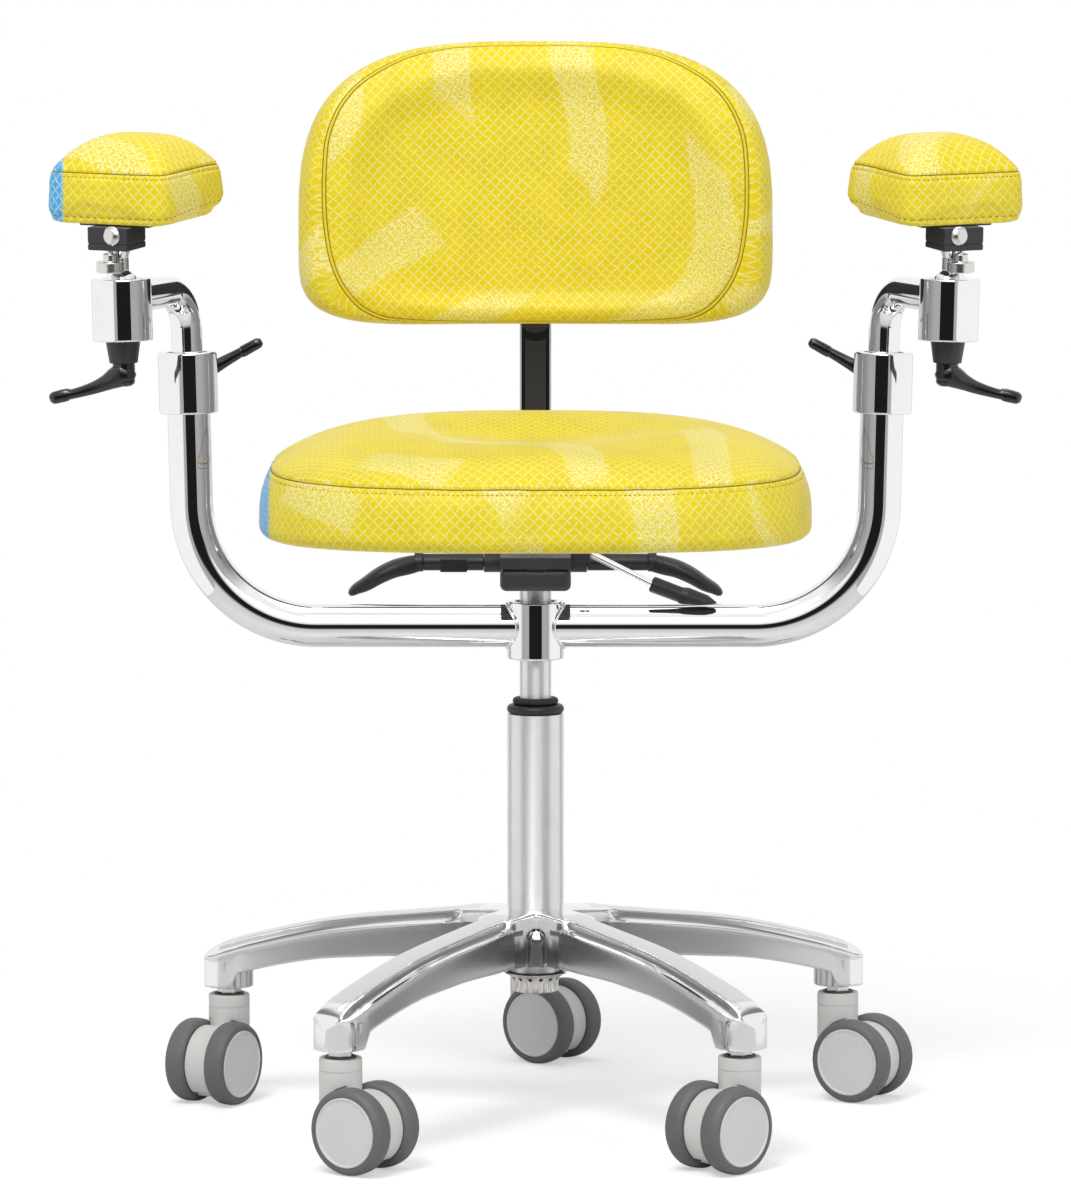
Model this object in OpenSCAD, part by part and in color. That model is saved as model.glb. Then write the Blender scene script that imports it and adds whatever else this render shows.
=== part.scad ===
// Microscope chair: a five-leg caster base, a gas-lift column, a padded seat and backrest,
// and a bent-tube yoke that turns round the column and carries two adjustable arm pads.
// Millimetres, +Z up, the floor at z = 0, the column on the Z axis and the sitter facing -Y.

/* [Base] */
// Radius of the circle of the caster stems
stem_circle_r = 290; // [260:5:320]
// Turn of the star base about the column, degrees
base_turn = 1; // [-30:1:30]
// Width of a leg at its tip
leg_w = 41; // [36:1:46]
// Metal thickness of a leg
leg_wall = 4.5; // [3:0.5:6]
// From the stem axis out to the nose of the leg
leg_nose = 22; // [20:1:26]
// Height of the underside of the leg tip
tip_bottom_z = 103; // [101:1:106]
// Height of the ridge above the stem
tip_top_z = 145; // [138:1:150]
// Height of the arch under a leg, at the hub
arch_z = 141; // [136:1:146]
// Height of the hub's top
hub_top_z = 188; // [182:1:196]
// Height of the hub's lower rim
hub_bottom_z = 133; // [130:1:136]
// Radius of the hub
hub_r = 39; // [36:1:44]

/* [Column] */
// Outside diameter of the fixed column tube
tube_d = 50; // [46:1:54]
// Wall of the column tube
tube_wall = 3; // [2:0.5:4]
// Height of the column tube's top
tube_top_z = 362; // [340:1:370]
// Diameter of the sliding pressure tube
press_d = 28; // [26:1:30]
// Wall of the pressure tube
press_wall = 2; // [1.5:0.25:2.5]
// Height of the pressure tube's lower end
press_bottom_z = 172; // [168:1:180]
// Diameter of the piston rod
rod_d = 10; // [8:0.5:12]
// Height of the piston, which stays still while the tube slides
piston_z = 318; // [310:1:330]
// Length of the guide bush inside the column tube
bush_len = 70; // [50:5:80]

/* [Casters] */
// Wheel diameter
wheel_d = 75; // [70:1:80]
// Width of one wheel
wheel_w = 20; // [16:1:22]
// Distance between the middles of the two wheels
wheel_track = 42; // [38:1:46]
// Distance of the axle behind the stem
trail = 26; // [22:1:30]
// Diameter of the light face of a wheel
face_d = 62; // [56:1:66]
// Diameter of the swivel cap
cap_d = 37; // [34:1:40]
// Height of the top of the swivel cap
cap_top_z = 96; // [94:1:98]
// Diameter of the stem
stem_d = 11; // [10:0.5:12]
// Diameter of the axle
axle_d = 8; // [6:0.5:10]

/* [Seat] */
// Width of the seat cushion
seat_w = 490; // [440:5:520]
// Seat cushion from the column to its front edge
seat_front = 190; // [170:5:205]
// Seat cushion from the column to its rear edge
seat_rear = 192; // [175:1:198]
// Height of the seat cushion's underside
seat_bottom_z = 521; // [520:1:526]
// Height of the sides of the seat cushion, up to the seam
seat_side_h = 63; // [50:1:75]
// Rise of the seat's top over the seam
seat_crown = 38; // [26:1:44]
// Depth of the hollow that the sitter fills
seat_dish = 20; // [5:1:24]
// Fall of the seat's top towards its front corners
seat_front_fall = 20; // [8:1:24]
// Rise of the hump in the middle of the front
seat_hump = 6; // [0:1:12]
// Thickness of the seat board
seat_board_t = 9; // [8:0.5:10]
// Thickness of the steel seat plate
plate_t = 4; // [3:0.5:5]

/* [Mechanism] */
// Width of the mechanism box
mech_w = 62; // [58:1:66]
// Height of the parting line between box and lower cover
mech_split_z = 497; // [495:0.5:499]
// Height of the underside of the lower cover
mech_bottom_z = 477.5; // [475:0.5:480]
// Height of the top of the mechanism box
mech_top_z = 507; // [506:0.5:508]
// Front of the mechanism box, ahead of the column
mech_front = 70; // [60:1:75]
// Rear of the mechanism box, behind the column
mech_rear = 102; // [100:1:106]
// Place of the seat's tilt pin behind the column
tilt_y = 62; // [58:1:64]
// Height of the seat's tilt pin
tilt_z = 497; // [495:0.5:499]
// Place of the back bar's pin behind the column
back_pin_y = 90; // [88:1:92]
// Height of the back bar's pin
back_pin_z = 487; // [486:0.5:488]
// Place of the lever shafts behind the column
lever_y = 45; // [43:0.5:46]
// Height of the lever shafts
lever_z = 492; // [490:0.5:493]
// Diameter of the lever shafts
lever_d = 15; // [12:0.5:16]
// From the column to the end of the lever shafts
lever_root_x = 108; // [100:1:116]
// Slope of the backrest lever's rod, degrees
rod_slope = 26.5; // [24:0.5:30]
// Length of the backrest lever's grip
grip_len = 60; // [54:1:64]

/* [Back] */
// Width of the backrest cushion, measured round its curve
back_w = 418; // [380:2:440]
// Height of the lower edge of the backrest
back_bottom_z = 694; // [690:1:710]
// Height of the backrest cushion
back_h = 261; // [230:1:280]
// Thickness of the backrest cushion
back_t = 48; // [40:1:50]
// Radius of the backrest's curve round the sitter
back_r = 620; // [500:10:900]
// Width of the back bar
bar_w = 30; // [26:1:34]
// Thickness of the back bar
bar_t = 9; // [8:0.5:10]
// Front face of the upright part of the back bar, behind the column
bar_y = 214; // [212:1:220]
// Inside radius of the back bar's bend
bar_bend_r = 30; // [24:1:36]
// Width of the dark inlay in the bar
inlay_w = 19; // [15:1:21]
// Depth of the hollow inside the backrest's raised rim
back_rim = 9; // [4:0.5:12]

/* [Yoke] */
// Outside diameter of the yoke tube
yoke_d = 38; // [35:0.5:40]
// Inside diameter of the yoke tube
yoke_bore = 34; // [32:0.5:35]
// Height of the yoke's level tube
yoke_z = 440; // [438:1:442]
// Bend radius of the yoke
yoke_bend_r = 110; // [90:1:120]
// From the column to the middle of an upright, at its foot
yoke_half = 304; // [296:1:312]
// Outward lean of the uprights, degrees
splay = 1.3; // [0:0.1:3]
// Diameter of the sleeve round the pressure tube
sleeve_d = 50; // [46:1:54]
// Height of the sleeve's lower end
sleeve_bottom_z = 411; // [409:1:413]
// Length of the sleeve
sleeve_len = 51; // [46:1:54]

/* [Arms] */
// Diameter of the clamp collars
collar_d = 52; // [48:1:56]
// Lower end of the first collar, above the foot of the upright
collar_z = 81.5; // [76:0.5:90]
// Length of the clamp collars
collar_len = 54; // [48:1:58]
// Outside diameter of the arm tube
arm_d = 27.5; // [25:0.5:28.5]
// Height of the arm tube's level part above the foot of the upright
arm_z = 190.5; // [186:0.5:198]
// Bend radius of the arm tube
arm_bend_r = 36; // [30:1:42]
// From the upright to the middle of the second collar
arm_reach = 120; // [105:1:135]
// Turn of the arm outward from straight ahead, degrees
arm_yaw = 24; // [10:1:40]
// Diameter of the ball
ball_d = 30; // [26:1:32]
// Length of the clamp handles
handle_len = 62; // [50:1:66]

/* [Pads] */
// Width of an arm pad
pad_w = 112; // [100:1:124]
// Length of an arm pad
pad_len = 126; // [112:1:140]
// Height of the side of a pad, up to the seam
pad_side_h = 43; // [34:1:50]
// Rise of the pad's top over its seam
pad_crown = 31; // [20:1:38]
// Drop of the pad's front end below a straight pad
pad_droop = 9; // [0:1:14]
// Nose-down pitch of the pad, degrees
pad_pitch = 4; // [0:0.5:6]
// Outward rise of the pad, degrees
pad_roll = 2.4; // [0:0.1:4]
// Width of the block under a pad
block_w = 38.5; // [34:0.5:44]
// Height of the block under a pad
block_h = 20; // [16:1:22]

/* [Hidden] */
$fn = 64;
cut = 1;
running = 0.05;
seat_gap = 0.3;
face_gap = 0.1;
weld = 0.5;

leg_count = 5;
soft_steps = 40;
// A leg's stations, shares: place on the stem circle, ridge height from tip to hub top, underside
// height from tip to arch, half width, depth of the side grooves, and open channel underneath
leg_shares = [
    [0.104, 1.00, 1.00, 0.95, 0, 0], [0.120, 1.00, 1.00, 0.95, 0, 1], [0.210, 0.97, 1.00, 0.93, 0, 1],
    [0.250, 0.94, 1.00, 0.92, 1, 1], [0.440, 0.79, 0.98, 0.92, 1, 1],
    [0.550, 0.70, 0.92, 0.93, 1, 1], [0.670, 0.57, 0.84, 0.95, 1, 1],
    [0.790, 0.39, 0.68, 0.97, 1, 1], [0.910, 0.18, 0.46, 1.00, 1, 1],
    [0.952, 0.10, 0.36, 1.00, 1, 1], [0.968, 0.06, 0.00, 1.00, 1, 0],
    [1.000, 0.00, 0.00, 1.00, 1, 0], [1.034, -0.11, 0.00, 0.92, 0.9, 0],
    [1.052, -0.20, 0.00, 0.78, 0.6, 0], [1.062, -0.29, 0.00, 0.60, 0, 0]];
shoulder_drop = 10.5;
step_drop = 18;
step_in = 1.2;
nose_drop = 20;
nose_half = 0.6;
boss_r = 20;
boss_in = 2;
boss_roof_z = 128;
hub_lip = 2.5;
hub_round_z = 167;

tube_r = tube_d / 2;
tube_in_r = tube_r - tube_wall;
tube_foot_r = tube_r - 4 * weld * 2;
tube_foot_z = hub_bottom_z - 2 * cut;
taper_top_z = hub_bottom_z + tube_r - tube_wall - 5 * cut;
foot_z = 114;
foot_wall = 2.8;
foot_floor = 3;
bearing_t = 6;
flange_t = 8;
flange_over = 0.3;
buffer_t = 6;
buffer_over = 6.3;
buffer_r = press_d / 2 + buffer_over;
press_r = press_d / 2;
rod_r = rod_d / 2;

wheel_r = wheel_d / 2;
wheel_in = (wheel_track - wheel_w) / 2;
wheel_side_gap = 0.5;
body_half = wheel_in - wheel_side_gap;
guard_in = 5.5;
guard_r = wheel_r - guard_in;
wheel_clear = 1.2;
tyre_round = 5;
cap_depth = 26;
stem_low_z = cap_top_z - cap_depth;
groove_drop = 11;
hex_d = 22;
seal_d = 27.5;
seal_t = 2.6;
// Directions in which the five casters trail, counted from the back leg anticlockwise, degrees
caster_turns = [-38, -120, -35, -135, -32];

seat_half = seat_w / 2;
seat_seam_z = seat_bottom_z + seat_side_h;
board_inset = 42;
seat_lean_share = 0.035;
seat_seam_in = 10;
// Seat's side from its underside up to the seam: inset from the outline, share of the side's height
seat_levels = [[13, 0], [5, 0.056], [1, 0.16], [0, 0.32], [2, 0.55], [6, 0.82], [seat_seam_in, 1]];
plate_half = 105;
plate_y = 98;
cover_round_r = 7;
lever_clip = [24, 15, 12];
mech_half = mech_w / 2;
mech_wall = 3;
socket_r = 22;
pin_d = 8;
ear_t = 4;
ear_r = 10;
lug_t = 3;
rod_lever_d = 6.4;
rod_eye_d = 9;
rod_eye_w = 6;
rod_eye = [44, -12, 507.5];
rod_len = 84;
grip_r = 7.2;
grip_start = 65;
grip_turn = 5.8;
grip_flat_z = yoke_z + yoke_d / 2 + 2 * cut;
boss_d = 18;
lever_pin_d = 8;
lever_boss_x = 46;

bar_mid_y = bar_y + bar_t / 2;
bar_over = 118;
bar_top_z = back_bottom_z + bar_over;
inlay_t = 2;
inlay_bottom_z = 560;
inlay_below = 6;
inlay_top_z = back_bottom_z - inlay_below;
inlay_arc_r = 20;
back_board_t = 6;
back_board_in = 20;
back_board_edge = 2;
// Backrest's edge from its rear to its front: inset from the outline, share of the thickness
back_levels = [[14, 1], [5, 0.958], [0.5, 0.79], [0, 0.6], [0, 0.4], [1.5, 0.23]];
back_mid_z = back_bottom_z + back_h * 0.34;
back_front_y = bar_y - back_t - back_board_t - mech_wall - weld - 2 * seat_gap;
bracket_t = 10;
bracket_w = 60;
bracket_h = 110;
bracket_boss_r = 15;

upright_z = yoke_z + yoke_bend_r * (1 - sin(splay));
upright_x = yoke_half - yoke_bend_r * (1 - cos(splay));
collar_r = collar_d / 2;
bush_wall = 4;
sleeve_bore = press_d + 2 * bush_wall;
collar_bore = sleeve_bore;
bush_flange = 2.5;
arm_r = arm_d / 2;
arm_wall = 2;
arm_low_z = 14;
collar2_drop = 37;
collar2_z = arm_z - collar2_drop;
ball_r = ball_d / 2;
ball_sink = 6;
ball_z = collar2_z + collar_len - ball_sink;
post_d = 16;
neck_r = 7;
block_over = 32.5;
block_z = ball_z + block_over;
block_back = 11;
block_front = 24;
screw_y = 19.3;
screw_head_d = 24;
screw_head_h = 9;
screw_boss_d = 12;
screw_d = 6;
screw_drop = 9.5;
pad_plate_t = 2.5;
pad_back = 27;
pad_seam_in = 3.5;
// Pad's side from its underside up to the seam: inset from the outline, share of the side's height
pad_levels = [[9, 0], [3, 0.035], [0.6, 0.14], [0, 0.33], [1.2, 0.6], [2, 0.85], [pad_seam_in, 1]];
clamp_hub_len = 20;
cone_h = 19;
clamp_z = collar_z + collar_len / 2;

// Shapes used by several pieces

// Skin over a stack of rings, each a closed list of the same number of points
module loft(rings) {
    n = len(rings[0]);
    m = len(rings);
    polyhedron(points = [for (r = rings) each r],
        faces = concat([[for (j = [0 : n - 1]) j]],
            [for (i = [0 : m - 2], j = [0 : n - 1], t = [0, 1])
                let (a = i * n + j, b = i * n + (j + 1) % n)
                t == 0 ? [a, a + n, b + n] : [a, b + n, b]],
            [[for (j = [n - 1 : -1 : 0]) (m - 1) * n + j]]), convexity = 6);
}

// Ring of a bar that runs along a line in the XZ plane; p = [x, z, half thickness, half width]
function bar_ring(p, dir, n) = [for (j = [0 : n - 1])
    let (a = 360 * j / n, q = 2.6, c = cos(a), s = sin(a),
        w = sign(c) * pow(abs(c), 2 / q) * p[3], h = sign(s) * pow(abs(s), 2 / q) * p[2])
    [p[0] - h * sin(dir), w, p[1] + h * cos(dir)]];

// Bar along the listed places, bent in the XZ plane
module shaped_bar(places, n = 20) {
    last = len(places) - 1;
    loft([for (i = [0 : last])
        let (a = places[max(i - 1, 0)], b = places[min(i + 1, last)])
        bar_ring(places[i], atan2(b[1] - a[1], b[0] - a[0]), n)]);
}

// Outline point of a soft form: half width a, front and rear reach, squareness front and rear
function soft_point(angle, a, front, rear, nf, nr) =
    let (c = cos(angle), s = sin(angle), n = s < 0 ? nf : nr)
    [a * sign(c) * pow(abs(c), 2 / n), (s < 0 ? front : rear) * sign(s) * pow(abs(s), 2 / n)];

function bump(v, mid, wide) = exp(-pow((v - mid) / wide, 2));

// Ring around a solid of revolution with a rounded rim
module rounded_ring(r_in, r_out, h, round_r) {
    rotate_extrude() difference() {
        translate([r_in, 0]) square([r_out - r_in, h]);
        for (z = [0, h]) difference() {
            translate([r_out - round_r, z == 0 ? -cut : h - round_r])
                square([round_r + cut, round_r + cut]);
            translate([r_out - round_r, z == 0 ? round_r : h - round_r]) circle(round_r);
        }
    }
}

// Tube or rod along Z
module pipe(r_out, r_in, h) {
    difference() {
        cylinder(r = r_out, h = h);
        if (r_in > 0) translate([0, 0, -cut]) cylinder(r = r_in, h = h + 2 * cut);
    }
}

// Bent round bar in the XY plane, from +X towards +Y
module bend(bend_r, r, angle) {
    rotate_extrude(angle = angle, $fn = 128) translate([bend_r, 0]) circle(r);
}

// Cylinder along X or Y, starting at the origin
module along_x(r, h) { rotate([0, 90, 0]) cylinder(r = r, h = h); }
module along_y(r, h) { rotate([-90, 0, 0]) cylinder(r = r, h = h); }

// Base

function leg_angle(k) = 90 + base_turn + 360 * k / leg_count;

function leg_ring(s) =
    let (r = s[0] * stem_circle_r, hw = s[3] * leg_w / 2,
        zt = tip_top_z + s[1] * (hub_top_z - tip_top_z),
        zb = tip_bottom_z + s[2] * (arch_z - tip_bottom_z),
        sh = shoulder_drop * s[4], flat = shoulder_drop * 0.3 * (1 - s[4]),
        low = hw - step_in, inner = max(low - leg_wall, low / 2),
        roof = s[5] * (zt - zb - 2 * leg_wall - sh / 2),
        side = [[low, zb], [low, zt - step_drop], [hw, zt - step_drop + step_in],
            [hw, zt - sh - flat - step_in], [hw - step_in, zt - sh - flat * 0.8],
            [0.66 * hw, zt - sh * 0.93 - flat * 0.43], [0.52 * hw, zt - sh * 0.66 - flat * 0.27],
            [0.38 * hw, zt - sh * 0.26 - flat * 0.14], [0.2 * hw, zt - sh * 0.06 - flat * 0.04]],
        inside = [[0.4 * inner, zb + roof], [inner * (0.8 + 0.2 * s[5]), zb + 0.8 * roof], [inner, zb]])
    [for (p = concat([[0, zt]], [for (i = [8 : -1 : 0]) [-side[i][0], side[i][1]]],
        [for (i = [2 : -1 : 0]) [-inside[i][0], inside[i][1]]], inside, side)) [r, p[0], p[1]]];

// Last ring of a leg: the upright edge in the middle of its nose
function nose_ring() =
    let (ref = leg_ring(leg_shares[len(leg_shares) - 1]), r = stem_circle_r + leg_nose,
        hw = abs(ref[9][1]), zt = tip_top_z - nose_drop)
    [for (p = ref) [r, p[1] / hw * nose_half,
        tip_bottom_z + (p[2] - tip_bottom_z) * (zt - tip_bottom_z) / (ref[0][2] - tip_bottom_z)]];

module leg() { loft(concat([for (s = leg_shares) leg_ring(s)], [nose_ring()])); }

module star_base() {
    color([0.86, 0.87, 0.88]) difference() {
        union() {
            for (k = [0 : leg_count - 1]) rotate([0, 0, leg_angle(k)]) {
                leg();
                translate([stem_circle_r - boss_in, 0, tip_bottom_z])
                    cylinder(r = boss_r, h = boss_roof_z - tip_bottom_z);
            }
            rotate_extrude($fn = 96) polygon([[0, hub_bottom_z], [hub_r, hub_bottom_z],
                [hub_r, hub_round_z], [hub_r - hub_lip, hub_round_z + 3 * hub_lip],
                [tube_r + 3 * hub_lip, hub_top_z - hub_lip], [tube_r + hub_lip, hub_top_z],
                [0, hub_top_z]]);
        }
        rotate_extrude() polygon([[0, hub_bottom_z - cut], [tube_foot_r + running, hub_bottom_z - cut],
            [tube_foot_r + running, hub_bottom_z + cut], [tube_r + running, taper_top_z],
            [tube_r + running, hub_top_z + cut], [0, hub_top_z + cut]]);
        for (k = [0 : leg_count - 1]) rotate([0, 0, leg_angle(k)])
            translate([stem_circle_r, 0, tip_bottom_z - cut])
                cylinder(d = stem_d + 2 * running, h = boss_roof_z - tip_bottom_z);
    }
}

module column_outer_tube() {
    color([0.75, 0.77, 0.8]) rotate_extrude() polygon([[tube_foot_r - tube_wall, tube_foot_z],
        [tube_foot_r, tube_foot_z], [tube_foot_r, hub_bottom_z + cut], [tube_r, taper_top_z],
        [tube_r, tube_top_z], [tube_in_r, tube_top_z], [tube_in_r, taper_top_z],
        [tube_foot_r - tube_wall, hub_bottom_z + cut]]);
}

module column_foot_ring() {
    color([0.8, 0.8, 0.82]) rotate_extrude() polygon([[rod_r + running, foot_z],
        [tube_foot_r - cut, foot_z], [tube_foot_r, foot_z + cut], [tube_foot_r, tube_foot_z - face_gap],
        [tube_foot_r - foot_wall, tube_foot_z - face_gap],
        [tube_foot_r - foot_wall, foot_z + foot_floor], [rod_r + running, foot_z + foot_floor]]);
}

module column_guide_bush() {
    color([0.06, 0.06, 0.06]) {
        translate([0, 0, tube_top_z - bush_len])
            pipe(tube_in_r - running, press_r + running, bush_len + weld);
        translate([0, 0, tube_top_z + running])
            rounded_ring(press_r + running, tube_r + flange_over, flange_t, flange_t / 2 - running);
    }
}

module column_buffer_ring() {
    color([0.05, 0.05, 0.05]) translate([0, 0, tube_top_z + running + flange_t + face_gap])
        rounded_ring(press_r + seat_gap, buffer_r, buffer_t, buffer_t / 2 - running);
}

// Casters

module at_stem(k) {
    rotate([0, 0, leg_angle(k)]) translate([stem_circle_r, 0, 0])
        rotate([0, 0, caster_turns[k] - leg_angle(k)]) children();
}

module caster_stems() {
    color([0.9, 0.9, 0.92]) for (k = [0 : leg_count - 1]) at_stem(k) {
        translate([0, 0, stem_low_z])
            cylinder(d = stem_d, h = boss_roof_z - stem_low_z - 2 * cut);
        translate([0, 0, cap_top_z + face_gap])
            cylinder(d = hex_d, h = tip_bottom_z - cap_top_z - 2 * face_gap, $fn = 6);
    }
}

module caster_seal_rings() {
    color([0.3, 0.3, 0.3]) for (k = [0 : leg_count - 1]) at_stem(k)
        translate([0, 0, cap_top_z - seal_t / 2]) difference() {
            rounded_ring(hex_d / 2 + seat_gap, seal_d / 2, seal_t, seal_t / 3);
            translate([0, 0, -cut]) cylinder(d = hex_d + 2 * seat_gap, h = seal_t + 2 * cut);
        }
}

// Swivel housing: a cap round the stem and a guard between the wheels, cut clear of both wheels
module caster_housing(k) {
    groove_z = cap_top_z - groove_drop;
    color([0.85, 0.85, 0.83]) at_stem(k) {
        difference() {
            union() {
                translate([0, 0, wheel_r]) cylinder(d = cap_d, h = cap_top_z - wheel_r - cut);
                translate([0, 0, cap_top_z - cut]) cylinder(d1 = cap_d, d2 = cap_d - 2 * cut, h = cut);
                translate([trail, body_half, wheel_r]) rotate([90, 0, 0])
                    cylinder(r = guard_r, h = 2 * body_half);
                translate([0, -body_half, wheel_r]) cube([trail, 2 * body_half, guard_r * 0.9]);
            }
            for (s = [-1, 1]) translate([trail, s * wheel_in, wheel_r]) rotate([-90 * s, 0, 0])
                translate([0, 0, -running]) cylinder(r = wheel_r + wheel_clear, h = wheel_w * 2);
            translate([0, 0, stem_low_z - cut])
                cylinder(d = stem_d + 2 * running, h = cap_top_z - stem_low_z + 2 * cut);
            translate([0, 0, cap_top_z - seal_t / 2 - face_gap])
                cylinder(d = seal_d + 2 * seat_gap, h = seal_t + cut);
            translate([0, 0, groove_z]) difference() {
                cylinder(d = cap_d + cut, h = 0.8 * cut);
                translate([0, 0, -cut]) cylinder(d = cap_d - 1.4 * cut, h = 3 * cut);
            }
            translate([trail + guard_r / 3, -body_half - cut, -cut])
                cube([guard_r, 2 * body_half + 2 * cut, wheel_r / 3]);
        }
        translate([trail, wheel_in + wheel_w * 0.7, wheel_r]) rotate([90, 0, 0])
            cylinder(d = axle_d, h = 2 * (wheel_in + wheel_w * 0.7));
    }
}

// One wheel: a light core with a closed face and a soft tyre round it; side is 1 or -1
module caster_wheel(k, side) {
    face_r = face_d / 2;
    in_r = face_r - 2;
    at_stem(k) translate([trail, side * wheel_in, wheel_r]) rotate([-90 * side, 0, 0]) {
        color([0.8, 0.8, 0.81]) rotate_extrude() polygon([[axle_d / 2 + running, face_gap],
            [in_r, face_gap], [in_r, wheel_w - 2 * cut], [face_r - running, wheel_w - 2 * cut],
            [face_r - running, wheel_w - weld], [face_r - 2 * cut, wheel_w],
            [face_r - 3 * cut, wheel_w - weld], [0, wheel_w - weld], [0, wheel_w * 0.8],
            [axle_d / 2 + running, wheel_w * 0.8]]);
        color([0.42, 0.43, 0.45]) rotate_extrude() union() {
            translate([in_r + running, face_gap]) square([face_r - in_r, wheel_w - 2 * cut - 2 * face_gap]);
            translate([face_r, face_gap]) square([wheel_r - tyre_round - face_r, wheel_w - weld - face_gap]);
            translate([face_r, tyre_round + face_gap])
                square([wheel_r - face_r, wheel_w - weld - 2 * tyre_round - face_gap]);
            for (z = [tyre_round + face_gap, wheel_w - weld - tyre_round])
                translate([wheel_r - tyre_round, z]) circle(tyre_round);
        }
    }
}

// Column insides

module piston_rod() {
    color([0.8, 0.8, 0.82]) {
        translate([0, 0, foot_z - 2 * cut]) cylinder(r = rod_r, h = piston_z - foot_z);
        translate([0, 0, foot_z + foot_floor + face_gap + bearing_t + face_gap])
            cylinder(r = rod_r + 2 * cut, h = foot_floor);
        translate([0, 0, piston_z - 2 * cut]) cylinder(r = press_r - press_wall - running, h = 2 * rod_r);
    }
}

module thrust_bearing() {
    color([0.6, 0.6, 0.62]) translate([0, 0, foot_z + foot_floor + face_gap])
        pipe(tube_foot_r - foot_wall - cut, rod_r + running, bearing_t);
}

module pressure_tube() {
    top_z = mech_top_z - 2 * cut;
    inner = press_r - press_wall;
    color([0.75, 0.77, 0.8]) rotate_extrude() polygon([[rod_r + running, press_bottom_z],
        [press_r - cut, press_bottom_z], [press_r, press_bottom_z + cut], [press_r, top_z - cut],
        [press_r - cut, top_z], [0, top_z], [0, mech_bottom_z], [inner, mech_bottom_z],
        [inner, press_bottom_z + 2 * press_wall], [rod_r + running, press_bottom_z + 2 * press_wall]]);
}

// Mechanism

module mechanism_body() {
    pin_hole = pin_d + 2 * running;
    lug_x = rod_eye[0] - mech_half + rod_eye_d / 2;
    lug_y = rod_eye[1] - lug_t / 2;
    lug_gap = rod_eye_w + 2 * seat_gap;
    color([0.22, 0.22, 0.23]) difference() {
        union() {
            translate([-mech_half, -mech_front, mech_split_z + face_gap])
                cube([mech_w, mech_front + tilt_y - 2 * ear_r, mech_top_z - mech_split_z - face_gap]);
            translate([0, 0, mech_bottom_z + mech_wall + face_gap])
                cylinder(r = socket_r, h = mech_split_z - mech_bottom_z - mech_wall);
            for (s = [-1, 1]) {
                translate([s > 0 ? mech_half - ear_t : -mech_half, tilt_y - 2 * ear_r - weld, mech_bottom_z])
                    cube([ear_t, mech_rear - tilt_y + 2 * ear_r, mech_top_z - mech_bottom_z]);
                translate([s > 0 ? mech_half - ear_t : -lever_boss_x, lever_y, lever_z])
                    along_x(boss_d / 2, lever_boss_x - mech_half + ear_t);
                translate([mech_half - weld, lug_y + s * (lug_gap + lug_t) / 2, mech_split_z + face_gap])
                    cube([lug_x, lug_t, rod_eye[2] + rod_eye_d / 2 - mech_split_z]);
            }
            translate([-mech_half, tilt_y - 2 * ear_r - weld, mech_split_z + face_gap])
                cube([mech_w, ear_t, mech_top_z - mech_split_z - face_gap]);
            translate([rod_eye[0], rod_eye[1] - lug_gap / 2 - weld, rod_eye[2]])
                along_y(rod_eye_d / 4, lug_gap + 2 * weld);
        }
        translate([0, 0, mech_bottom_z])
            cylinder(r = press_r + running, h = mech_top_z - mech_bottom_z + cut);
        translate([-mech_half - cut, tilt_y, tilt_z]) along_x(pin_hole / 2, mech_w + 2 * cut);
        translate([-mech_half - cut, back_pin_y, back_pin_z]) along_x(pin_hole / 2, mech_w + 2 * cut);
        for (s = [0, 1]) mirror([s, 0, 0]) translate([mech_half - ear_t - cut, lever_y, lever_z])
            along_x(lever_pin_d / 2 + running, lever_boss_x);
        for (s = [0, 1]) mirror([s, 0, 0]) translate([mech_half - ear_t, mech_rear, mech_bottom_z])
            translate([-cut, 0, 0]) rotate([0, 90, 0]) cylinder(r = ear_r, h = ear_t + 2 * cut);
    }
}

module mechanism_cover() {
    rear_y = tilt_y - 2 * ear_r - 2 * cut;
    h = mech_split_z - mech_bottom_z;
    flat = mech_half - cover_round_r;
    color([0.24, 0.24, 0.25]) difference() {
        translate([0, rear_y, mech_bottom_z]) rotate([90, 0, 0]) linear_extrude(mech_front + rear_y) union() {
            translate([-mech_half, cover_round_r]) square([mech_w, h - cover_round_r]);
            translate([-flat, 0]) square([2 * flat, h]);
            for (s = [-1, 1]) translate([s * flat, cover_round_r]) circle(cover_round_r);
        }
        translate([-mech_half + mech_wall, -mech_front + mech_wall, mech_bottom_z + mech_wall])
            cube([mech_w - 2 * mech_wall, mech_front + rear_y - 2 * mech_wall, h]);
        translate([0, 0, mech_bottom_z - cut]) cylinder(r = press_r + 2 * cut, h = h);
        for (s = [-1, 1]) translate([s > 0 ? mech_half - ear_t - seat_gap : -mech_half - cut,
            lever_y - boss_d / 2 - cut, mech_bottom_z - cut])
            cube([ear_t + cut + seat_gap, boss_d, h + 2 * cut]);
    }
}

// Hand levers, drawn pointing right

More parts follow.
